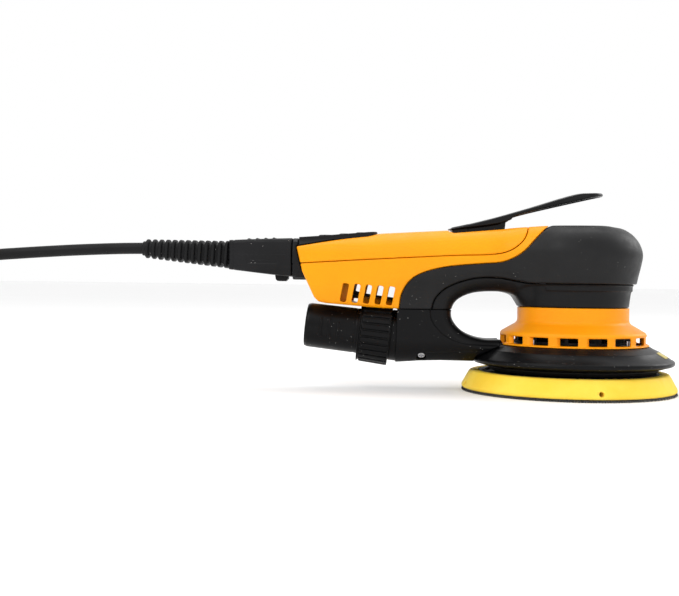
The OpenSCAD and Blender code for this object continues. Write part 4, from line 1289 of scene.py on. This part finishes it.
def screw_form(head_r, height=1.5):
    """Screw head with a cross recess, its face looking along -z."""
    grid = Grid((-head_r - 0.4, -head_r - 0.4, -0.5), (head_r + 0.4, head_r + 0.4, height + 0.4),
                head_r / 18, half=False)
    radius = np.hypot(grid.x, grid.y)
    head = round_and(radius - head_r, np.abs(grid.z - height / 2) - height / 2, head_r * 0.18)
    arm_a = np.maximum(np.abs(grid.x) - head_r * 0.14, np.abs(grid.y) - head_r * 0.62)
    arm_b = np.maximum(np.abs(grid.y) - head_r * 0.14, np.abs(grid.x) - head_r * 0.62)
    cross = np.maximum(np.minimum(arm_a, arm_b), grid.z - height * 0.55)
    return skin_of(grid, cut(head, cross, head_r * 0.05))


def screws(places, head_r):
    """Screw heads at (point, direction that the head faces)."""
    form = Form()
    single = screw_form(head_r)
    for point, facing in places:
        turn = Vector(facing).to_track_quat("-Z", "Y").to_matrix()
        form.take(single.moved(lambda p: np.array(turn @ Vector(p)) + np.array(point)))
    return form


def add_lower_parts(mats):
    add_piece(mats, motor_ring_form(), "motor_ring_body", "housing", "motor_ring", "motor_housing")
    add_piece(mats, shroud_form(), "shroud_skirt", "housing", "black_duct", "dust_shroud",
              flat_angle=35)
    add_piece(mats, seal_form(), "brake_ring", "housing", "seal_rubber", "brake_seal")
    add_piece(mats, collar_form(), "ribbed_collar", "outlet_collar", "black_duct", "swivel_collar")
    add_piece(mats, nozzle_form(), "nozzle_tube", "outlet_nozzle", "black_duct", "hose_nozzle",
              flat_angle=50)
    add_piece(mats, seal_ring_form(), "nozzle_o_ring", "outlet_nozzle", "seal_rubber",
              "nozzle_seal")
    down, outward = cos_sin(DUCT_SCREW_LEAN)
    x, y, z = DUCT_SCREWS
    places = []
    for s in (-1, 1):
        facing = (0, s * outward, -down)
        places.append(((x, s * y - DUCT_SCREW_SUNK * facing[1], z - DUCT_SCREW_SUNK * facing[2]),
                       facing))
    add_piece(mats, screws(places, 2.2), "duct_screw_heads", "housing", "steel", "duct_screws",
              flat_angle=40)
    places = [((SHELL_SCREW_X, s * SHELL_SCREW_Y, 51.4), (0, 0, -1)) for s in (-1, 1)]
    add_piece(mats, screws(places, 2.3), "shell_screw_heads", "housing", "steel",
              "housing_screws", flat_angle=40)


# ---- pad ---------------------------------------------------------------------------------
def hole_places():
    """Middle and radius of each dust hole."""
    out = []
    for radius, diameter, count, first in HOLE_RINGS:
        for i in range(count):
            a = math.radians(PAD_PHASE + first + 360 / count * i)
            out.append((radius * math.cos(a), radius * math.sin(a), diameter / 2))
    return out


def star_distance(x, y):
    """The recess at the pad's centre: four round-ended arms across a round middle."""
    c, s = cos_sin(PAD_PHASE)
    u, v = c * x + s * y, -s * x + c * y
    best = np.hypot(u, v) - 5.8
    for a, b in ((u, v), (v, u)):
        arm = np.hypot(np.maximum(np.abs(a) - 12, 0), b) - 1.9
        best = np.minimum(best, arm)
    return best


def holes_distance(x, y):
    best = star_distance(x, y)
    for hx, hy, r in hole_places():
        best = np.minimum(best, np.hypot(x - hx, y - hy) - r)
    return best


SIDE_HOLE_COUNT = 4
SIDE_HOLE_ANGLE = 11.1  # degrees from the dust holes' first
SIDE_HOLE_R, SIDE_HOLE_Z = 1.4, 4.4
SIDE_HOLE_END_R = 48


def foam_form():
    """Foam of the backing pad, with its dust holes, star recess and side holes."""
    grid = Grid((-64, -64, 0), (64, 64, 13), 0.55, half=False)
    outer = revolve_field(grid, [
        (0, 1.55), (61.6, 1.55), (62.4, 2.3), (62.5, 3.1), (61.9, 4.4), (58.6, 10.6), (57.6, 11.8),
        (56.8, 12), (52.3, 12), (52.1, 11.8), (52.1, 8), (14.2, 8), (14.2, 5.4), (0, 5.4),
    ])
    x, y = grid.x[:, :, 0], grid.y[:, :, 0]
    field = outer
    star = np.maximum(star_distance(x, y)[:, :, None], grid.z - 4)
    field = cut(field, star, 0.25)
    for hx, hy, r in hole_places():
        i = np.abs(grid.x[:, 0, 0] - hx) < r + 2
        j = np.abs(grid.y[0, :, 0] - hy) < r + 2
        near = np.ix_(i, j, np.ones(grid.shape[2], bool))
        hole = np.hypot(grid.x[i] - hx, grid.y[:, j] - hy) - r
        field[near] = cut(field[near], np.broadcast_to(hole, field[near].shape), 0.3)
    for i in range(SIDE_HOLE_COUNT):
        c, s = cos_sin(PAD_PHASE + SIDE_HOLE_ANGLE + 360 / SIDE_HOLE_COUNT * i)
        across = -s * grid.x + c * grid.y
        out = c * grid.x + s * grid.y
        bore = np.hypot(across, grid.z - SIDE_HOLE_Z) - SIDE_HOLE_R
        bore = np.maximum(bore, SIDE_HOLE_END_R - out)
        field = cut(field, bore, 0.25)
    return skin_of(grid, field, adaptivity=0.02)


HOOK_ROW = 1.35  # between rows of hooks
HOOK_STEP = 1.0  # between hooks in a row
RIM_HOOKS = 125  # hooks in each of the rim's two rows
RIM_HOOK_SIZE = 2.3  # times as thick as the others
HOOK_ANGLE = 38  # degrees that the rows are turned
HOOK_BASE_Z = 1.0


def hook_base_form():
    """The woven backing that the hooks stand on."""
    grid = Grid((-63.5, -63.5, 0), (63.5, 63.5, 2.0), 0.45, half=False)
    x, y = grid.x[:, :, 0], grid.y[:, :, 0]
    flat = np.maximum(np.hypot(x, y) - 61.6, -(holes_distance(x, y) - 0.1))
    c, s = cos_sin(HOOK_ANGLE)
    rows = 0.10 * np.cos((-s * x + c * y) / HOOK_ROW * 2 * math.pi)
    field = np.maximum(flat[:, :, None], HOOK_BASE_Z + rows[:, :, None] - grid.z)
    field = np.maximum(field, grid.z - 1.58)
    return skin_of(grid, field)


def hook_pile_form():
    """Rows of small hooks, each a thin stem bent over at its tip."""
    rng = np.random.default_rng(7)
    c, s = cos_sin(HOOK_ANGLE)
    span = int(64 / HOOK_STEP)
    rows = int(64 / HOOK_ROW)
    u, v = np.meshgrid(np.arange(-span, span + 1) * HOOK_STEP,
                       np.arange(-rows, rows + 1) * HOOK_ROW, indexing="ij")
    u = (u + 0.5 * HOOK_STEP * (np.arange(2 * rows + 1) % 2)[None, :]).ravel()
    v = v.ravel()
    u = u + rng.normal(0, 0.10, len(u))
    v = v + rng.normal(0, 0.07, len(v))
    x, y = c * u - s * v, s * u + c * v
    keep = (np.hypot(x, y) < 61.9) & (holes_distance(x, y) > 0.25)
    # A fringe of stouter hooks in two rows round the rim
    around = np.linspace(0, 2 * math.pi, 2 * RIM_HOOKS, endpoint=False)
    out = 61.7 + 0.35 * (np.arange(2 * RIM_HOOKS) % 2) + rng.normal(0, 0.08, 2 * RIM_HOOKS)
    x = np.concatenate([x[keep], out * np.cos(around)])
    y = np.concatenate([y[keep], out * np.sin(around)])
    count = len(x)
    stout = np.where(np.arange(count) >= np.count_nonzero(keep), RIM_HOOK_SIZE, 1.0)
    lean = rng.normal(0, 0.10, (count, 2))
    way = np.where(rng.random(count) < 0.5, 1.0, -1.0)
    edge = np.clip((np.hypot(x, y) - 60.3) / 1.6, 0, 1)
    outward = np.stack([x, y], 1) / np.hypot(x, y)[:, None] * edge[:, None] * 0.3
    # Stem, bend and tip: share of the height, and reach along the row
    stations = [(0.0, 0.0, 0.20), (0.62, 0.02, 0.15), (1.0, 0.16, 0.13), (0.80, 0.36, 0.05)]
    height = HOOK_BASE_Z + 0.05
    points = np.zeros((count, len(stations), 3, 3))
    for k, (rise, reach, size) in enumerate(stations):
        cx = x + (c * reach) * way + (lean[:, 0] + outward[:, 0]) * rise
        cy = y + (s * reach) * way + (lean[:, 1] + outward[:, 1]) * rise
        cz = np.clip(height * (1 - rise), 0.02, None) + rng.random(count) * 0.06 * rise
        for m in range(3):
            a = 2 * math.pi * m / 3
            points[:, k, m, 0] = cx + size * stout * math.cos(a)
            points[:, k, m, 1] = cy + size * stout * math.sin(a)
            points[:, k, m, 2] = cz
    faces = []
    for k in range(len(stations) - 1):
        for m in range(3):
            n = (m + 1) % 3
            faces.append((k * 3 + m, k * 3 + n, k * 3 + 3 + n, k * 3 + 3 + m))
    last = (len(stations) - 1) * 3
    faces.append((last, last + 1, last + 2))
    # Heights run downwards, so each face is turned the other way
    block = np.array([f[::-1] for f in faces[:-1]])
    caps = np.array([faces[-1][::-1]])
    offset = np.arange(count)[:, None, None] * len(stations) * 3
    quads = (block[None] + offset).reshape(-1, 4)
    tips = (caps[None] + offset).reshape(-1, 3)
    return Form().add(points.reshape(-1, 3), quads.tolist() + tips.tolist())


def add_pad(mats):
    foam = add_piece(mats, foam_form(), "foam_disc", "pad", "pad_foam", "pad_foam",
                     shift=(0, 0, 0))
    hooks = hook_base_form().take(hook_pile_form())
    add_piece(mats, hooks, "hook_pile", "pad", "hook_fabric", "hook_face", shift=(0, 0, 0))


# ---- lever, panel and keys ---------------------------------------------------------------
LEVER_TOP = [(-74.2, 95.4), (-52, 101), (-28.7, 107.8), (-2.6, 115.9), (8, 117.2), (16.4, 117)]
LEVER_UNDER = [(16.4, 115.2), (6, 113.4), (-32.4, 104), (-39, 100.4), (-50, 97.6), (-72, 94.9)]
LEVER_PIVOT = (-70, 90.2)
SPRING_X = -57
SPRING_TURNS, SPRING_LOW, SPRING_RISE = 7, 83.55, 10.2
SPRING_R, SPRING_WIRE_R = 2.8, 0.42


def lever_form():
    """Paddle lever, with the skirt and lugs that it turns on."""
    grid = Grid((-76, 0, 86), (18, 14, 118.5), 0.3)
    top_line = smooth_line(LEVER_TOP, 6).T
    top = np.interp(grid.x, *top_line)
    under = np.interp(grid.x, *smooth_line(LEVER_UNDER, 6)[::-1].T)
    half_w = np.interp(grid.x, (-74.5, -64, -30, -8, 4), (10, 10, 11.2, 12.5, 12.5))
    end = np.hypot(np.maximum(grid.x - 3.9, 0), grid.y) - 12.5
    plan = np.where(grid.x < 3.9, np.abs(grid.y) - half_w, end)
    # The paddle is crowned, and hollow underneath with a rim
    crown = 0.9 * (grid.y / 12.5) ** 2
    slope = 0.96
    paddle = round_and((grid.z - top + crown) * slope, (under - grid.z) * slope, 0.5)
    paddle = round_and(paddle, plan, 0.9)
    paddle = np.maximum(paddle, -74.4 - grid.x)
    rim = np.maximum(plan + 1.7, -62 - grid.x)
    roof = (top - 1.7 - crown - grid.z) * slope
    dish = np.maximum(np.maximum(rim, -roof), -44 - grid.x)
    paddle = cut(paddle, dish, 0.45)
    spine = np.maximum(np.abs(grid.y) - 0.8, np.maximum((grid.z - top + 1) * slope,
                                                      (under + 0.3 - grid.z) * slope))
    paddle = np.minimum(paddle, np.maximum(spine, plan + 0.5))
    skirt = round_and(side_field(grid, [(-66, 97), (-52, 100.5), (-40.6, 102.6), (-41.8, 92.2),
                                        (-45, 91.6), (-66, 91)]), np.abs(grid.y) - 7.5, 0.7)
    lugs = round_and(side_field(grid, [(-72.4, 96), (-63, 98), (-63, 91), (-67, 87.4),
                                       (-72, 87.4)]), np.abs(grid.y) - 8.4, 0.5)
    body = round_or(paddle, np.minimum(skirt, lugs), 0.8)
    # Four shallow grip grooves across the paddle's front
    for x in (-8, -3, 2, 7):
        groove = np.hypot(grid.x - x, grid.z - np.interp(x, *top_line) - 0.15 + crown) - 0.55
        body = cut(body, np.maximum(groove, np.abs(grid.y) - 7.5), 0.15)
    body = np.maximum(body, 1.55 - np.hypot(grid.x - LEVER_PIVOT[0], grid.z - LEVER_PIVOT[1]))
    spring_well = np.maximum(np.hypot(grid.x - SPRING_X, grid.y) - 4.1, grid.z - 97.4)
    body = np.maximum(body, -spring_well)
    return skin_of(grid, body)


# x, radius and top of the power, speed up and speed down keys
KEYS = [(-147, 4.6, 91.2), (-135.5, 3.8, 92.1), (-125.5, 3.8, 92.9)]
PANEL_HOLE_X = -155.5  # where the status lens sits


def panel_form():
    """Control panel behind the lever."""
    grid = Grid((-165, 0, 83), (-113, 18, 94.6), 0.35)
    half = [(0, 0.6), (8, 0.3), (12.5, -1.4), (15.4, -4.5), (16.6, -9)]
    slope = math.tan(math.radians(SECTION_SLOPE))
    lifted = [(y, z + 90) for y, z in mirrored(half)]
    shifted = grid.z - (grid.x + 150) * slope
    section = polygon_distance(np.broadcast_to(grid.y, grid.shape), shifted + 0 * grid.y, lifted)
    crown = round_and(section, side_field(grid, [
        (-115.5, 93.35), (-150.9, 90.15), (-162.3, 89.3), (-162.3, 84.35), (-115.5, 92.9),
    ]), 0.35)
    recess = panel_recess(grid) + 0.25
    plate = np.maximum(side_field(grid, [
        (-116.4, 93.1), (-150.9, 90.1), (-162.3, 89.3), (-162.3, 85.7), (-150.9, 87),
        (-116.4, 89.6),
    ]), recess)
    body = np.minimum(crown, plate)
    for x, r, _ in KEYS:
        away = np.hypot(grid.x - x, grid.y)
        body = cut(body, away - r - 0.3, 0.3)
    body = np.maximum(body, 1.25 - np.hypot(grid.x - PANEL_HOLE_X, grid.y))
    # Sunk field that the keys stand in
    field = box_2d(grid.x + 137.5, grid.y, 17.5, 7.2, 5)
    surface = np.maximum(section, grid.z - np.interp(grid.x, (-163.4, -150.9, -116.4),
                                                     (89.2, 90.1, 93.1)))
    body = cut(body, np.maximum(field, -(surface + 0.5)), 0.25)
    return skin_of(grid, body)


def bar_form(length, width, height):
    """A thin flat bar with its ends rounded, for a key's mark."""
    half, r = length / 2 - width / 2, width / 2
    outline = [(half + r * math.cos(a), r * math.sin(a))
               for a in np.linspace(-math.pi / 2, math.pi / 2, 7)]
    outline += [(-x, -y) for x, y in outline]
    rings = [np.array([(x, y, z) for x, y in outline]) for z in (0, height)]
    return tube_form(rings)


def power_mark():
    """An open ring with a bar in its gap."""
    rings = []
    for a in np.radians(np.linspace(125, 415, 25)):
        rings.append(np.array([((1.7 + d) * math.cos(a), (1.7 + d) * math.sin(a), z)
                               for d, z in ((-0.22, 0), (0.22, 0), (0.22, 0.3), (-0.22, 0.3))]))
    ring = tube_form(rings)
    bar = bar_form(1.9, 0.44, 0.3).moved(lambda p: np.array([-p[1], p[0] + 1.5, p[2]]))
    return ring.take(bar)


def key_form(index):
    """One key: a dished cap on a stem, with its raised mark."""
    x, r, top = KEYS[index]
    dish = [(0.02, top - 4.5), (r * 0.6, top - 4.5), (r - 0.15, top - 4.4), (r, top - 4.2),
            (r, top - 0.5), (r - 0.12, top - 0.2), (r - 0.45, top), (r - 0.8, top - 0.02),
            (r * 0.6, top - 0.28), (r * 0.3, top - 0.38), (0.02, top - 0.4)]
    form = lathe_solid(dish, 72)
    form.take(lathe_solid([(0.02, 83.9), (1.6, 83.9), (1.6, top - 4), (0.02, top - 4)], 24))
    marks = Form()
    if index == 0:
        marks.take(power_mark())
    else:
        marks.take(bar_form(2.6, 0.5, 0.3))
        if index == 1:
            marks.take(bar_form(2.6, 0.5, 0.3).moved(lambda p: np.array([-p[1], p[0], p[2]])))
    # Marks are read with the nose pointing up
    marks = marks.moved(lambda p: np.array([p[1], -p[0], p[2] + top - 0.56]))
    form.take(marks, slot=1)
    return form.moved(lambda p: p + np.array([x, 0, 0]))


def lens_form():
    """Small domed status light."""
    profile = [(0.02, 86.9), (1.2, 86.9), (1.2, 90.1), (1.05, 90.3), (0.6, 90.4), (0.02, 90.42)]
    return lathe_solid(profile, 40).moved(lambda p: p + np.array([PANEL_HOLE_X, 0, 0]))


def spring_form():
    """The lever's return spring, with closed end turns, short enough for the pressed lever."""
    steps = SPRING_TURNS * 20
    rings = []
    for i in range(steps + 1):
        t = i / steps
        a = 2 * math.pi * SPRING_TURNS * t
        rise = smoothstep((t - 0.1) / 0.8) if 0.1 < t < 0.9 else float(t >= 0.9)
        center = np.array([SPRING_X + SPRING_R * math.cos(a), SPRING_R * math.sin(a),
                           SPRING_LOW + SPRING_RISE * float(rise)])
        out = np.array([math.cos(a), math.sin(a), 0])
        up = np.array([0, 0, 1])
        ring = [center + SPRING_WIRE_R * (math.cos(b) * out + math.sin(b) * up)
                for b in np.linspace(0, 2 * math.pi, 9)[:-1]]
        rings.append(np.array(ring))
    return tube_form(rings)


def baffle_form():
    """Moulded guide inside the handle that leads cooling air past the slots."""
    grid = Grid((-145, -3, 50), (-102, 3, 68), 0.5, half=False)
    plate = side_field(grid, [(-143, 51.2), (-104, 51.2), (-104, 53), (-111, 54), (-118, 54.8),
                              (-124, 55.8), (-129.6, 57.2), (-130.6, 66), (-143, 66)])
    body = round_and(plate, np.abs(grid.y) - 0.9, 0.3)
    rib = np.maximum(np.abs(plate) - 0.8, np.abs(grid.y) - 1.8)
    # Kept clear of the turning collar
    collar_room = outlet_place(grid)[1] - COLLAR_ROOM_R
    return skin_of(grid, np.maximum(round_or(body, rib, 0.4), -collar_room))


def add_controls(mats):
    add_piece(mats, lever_form(), "lever_paddle", "lever_arm", "lever_plastic", "lever")
    add_piece(mats, panel_form(), "key_panel", "housing", "black_housing", "control_panel")
    bodies = [("power_key", "power_button"), ("speed_up_key", "speed_up_button"),
              ("speed_down_key", "speed_down_button")]
    for index, (body, cad_node) in enumerate(bodies):
        add_piece(mats, key_form(index), cad_node + "_cap", body, "button_plastic", cad_node,
                  marks="key_print", flat_angle=40)
    add_piece(mats, lens_form(), "lens_dome", "housing", "lens", "status_lens", flat_angle=40)
    add_piece(mats, spring_form(), "return_spring", "housing", "steel", "lever_spring")
    add_piece(mats, baffle_form(), "air_guide", "housing", "fan_plastic")


# ---- power inlet and connector -----------------------------------------------------------
def inlet_form():
    """Frame that the connector plugs into."""
    grid = Grid((-169, 0, 62), (-152, 16, 90.5), 0.4)
    rear = [(0, 89.2), (9, 88.9), (13.5, 86.5), (15, 81), (14.6, 73), (12.5, 66.5), (9, 64),
            (0, 63.8)]
    section = polygon_distance(grid.y, grid.z, mirrored(rear))
    flange = round_and(side_field(grid, [
        (-166.2, 64), (-166.2, 88.9), (-162.7, 88.9), (-162.7, 84.3), (-163.8, 84),
        (-160.1, 68.8), (-157.6, 64)]), section, 0.8)
    block = box_field(grid, (-164.5, -13.4, 65.2), (-153.5, 13.4, 84), 0.8)
    body = np.minimum(flange, block)
    # The handle's seam goes on round the flange
    groove = np.maximum(np.abs(grid.z - 73.4) - 0.22, -(flange + 0.4))
    body = np.maximum(body, -groove)
    socket = box_field(grid, (-172, -11.6, 68.8), (-157, 11.6, 83.2), 2.0)
    return skin_of(grid, cut(body, socket, 0.3))


def connector_form():
    """Connector at the end of the lead, its plug inside the inlet."""
    grid = Grid((-206, 0, 62), (-156, 16, 90.5), 0.45)
    side = side_field(grid, [(-204.5, 69.8), (-166.6, 65.6), (-166.6, 88.8), (-204.5, 87.3)])
    section = polygon_distance(grid.y, grid.z, mirrored([
        (0, 89.5), (11.5, 89.2), (14.2, 86.5), (14.8, 82), (14.2, 72), (11, 66), (0, 65.2)]))
    plan = np.abs(grid.y) - np.interp(grid.x, (-205, -180, -167), (10.4, 14.6, 15))
    body = round_and(round_and(side, section, 1.0), plan, 2.2)
    outer = body
    # Collar at the cord's end, and a joint line round the shell
    collar = np.maximum(np.abs(grid.x + 201.6) - 0.3, -(outer + 0.45))
    joint = np.maximum(np.abs(grid.z - 79.2 + 0.01 * (grid.x + 186)) - 0.2, -(outer + 0.3))
    joint = np.maximum(joint, grid.x + 170)
    body = np.maximum(body, -np.minimum(collar, joint))
    # Shallow thumb recess on each side with a raised bar in it
    recess = np.maximum(box_2d(grid.x + 184, grid.z - 75, 9.5, 1.5, 1.4), -(outer + 0.5))
    body = cut(body, recess, 0.2)
    bar = np.maximum(box_2d(grid.x + 184, grid.z - 75, 8.2, 0.45, 0.4), outer + 0.12)
    body = np.minimum(body, np.maximum(bar, -outer - 1.2))
    for i in range(4):
        rib = np.hypot(grid.x + 193 - 5 * i, grid.z - 87.5 - 0.2 * i) - 1.1
        body = round_or(body, round_and(rib, np.abs(grid.y) - 6.5, 0.5), 0.4)
    plug = box_field(grid, (-168.6, -11.4, 69), (-157.3, 11.4, 83), 2.0)
    body = np.minimum(body, plug)
    for y in (0, 7):
        bore = np.hypot(grid.y - y, grid.z - 76) - 1.6
        body = np.maximum(body, -np.maximum(bore, -167 - grid.x))
    latch = box_field(grid, (-177.8, -4.4, 60), (-169, 4.4, 68.3), 0.5)
    return skin_of(grid, cut(body, latch, 0.3))


def latch_form():
    """Ridged latch key under the connector."""
    grid = Grid((-178.4, 0, 62), (-168.4, 5, 67.6), 0.2)
    side = side_field(grid, [(-177.4, 66.8), (-176.9, 64.1), (-175.6, 63.1), (-171, 63.1),
                             (-169.6, 64.6), (-169.4, 66.8)])
    body = round_and(side, np.abs(grid.y) - 4, 0.4)
    for x in (-175.2, -173.6, -172):
        body = cut(body, np.hypot(grid.x - x, grid.z - 62.95) - 0.42, 0.12)
    return skin_of(grid, body)


def add_connector(mats):
    add_piece(mats, inlet_form(), "inlet_frame", "housing", "black_housing", "power_inlet")
    add_piece(mats, connector_form(), "connector_shell", "mains_lead", "connector_plastic",
              "connector_body")
    add_piece(mats, latch_form(), "latch_button", "latch_key", "connector_plastic",
              "connector_latch")


# ---- carried over parts ------------------------------------------------------------------
EASED_NODES = ("shroud_tab", "switch_bracket", "lever_switch")
EASED_EDGE = 0.00025  # metres


def dress_frame(frame, mats):
    """Every CAD node that stays gets its slot's material, and a few get eased edges."""
    slots = {p["node"]: p["material_slot"] for p in frame["record"]["subparts"]}
    for name, obj in frame["nodes"].items():
        obj.data.materials.clear()
        obj.data.materials.append(mats[slots[name]])
        obj.data.polygons.foreach_set("material_index", [0] * len(obj.data.polygons))
        if name in EASED_NODES:
            bevel = obj.modifiers.new("eased edges", "BEVEL")
            bevel.width, bevel.segments = EASED_EDGE, 2


def main():
    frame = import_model()
    mats = all_materials()
    add_camera()
    add_lead(mats)
    add_connector(mats)
    add_shells(mats)
    add_controls(mats)
    add_lower_parts(mats)
    add_pad(mats)
    dress_frame(frame, mats)
    add_stage()


main()
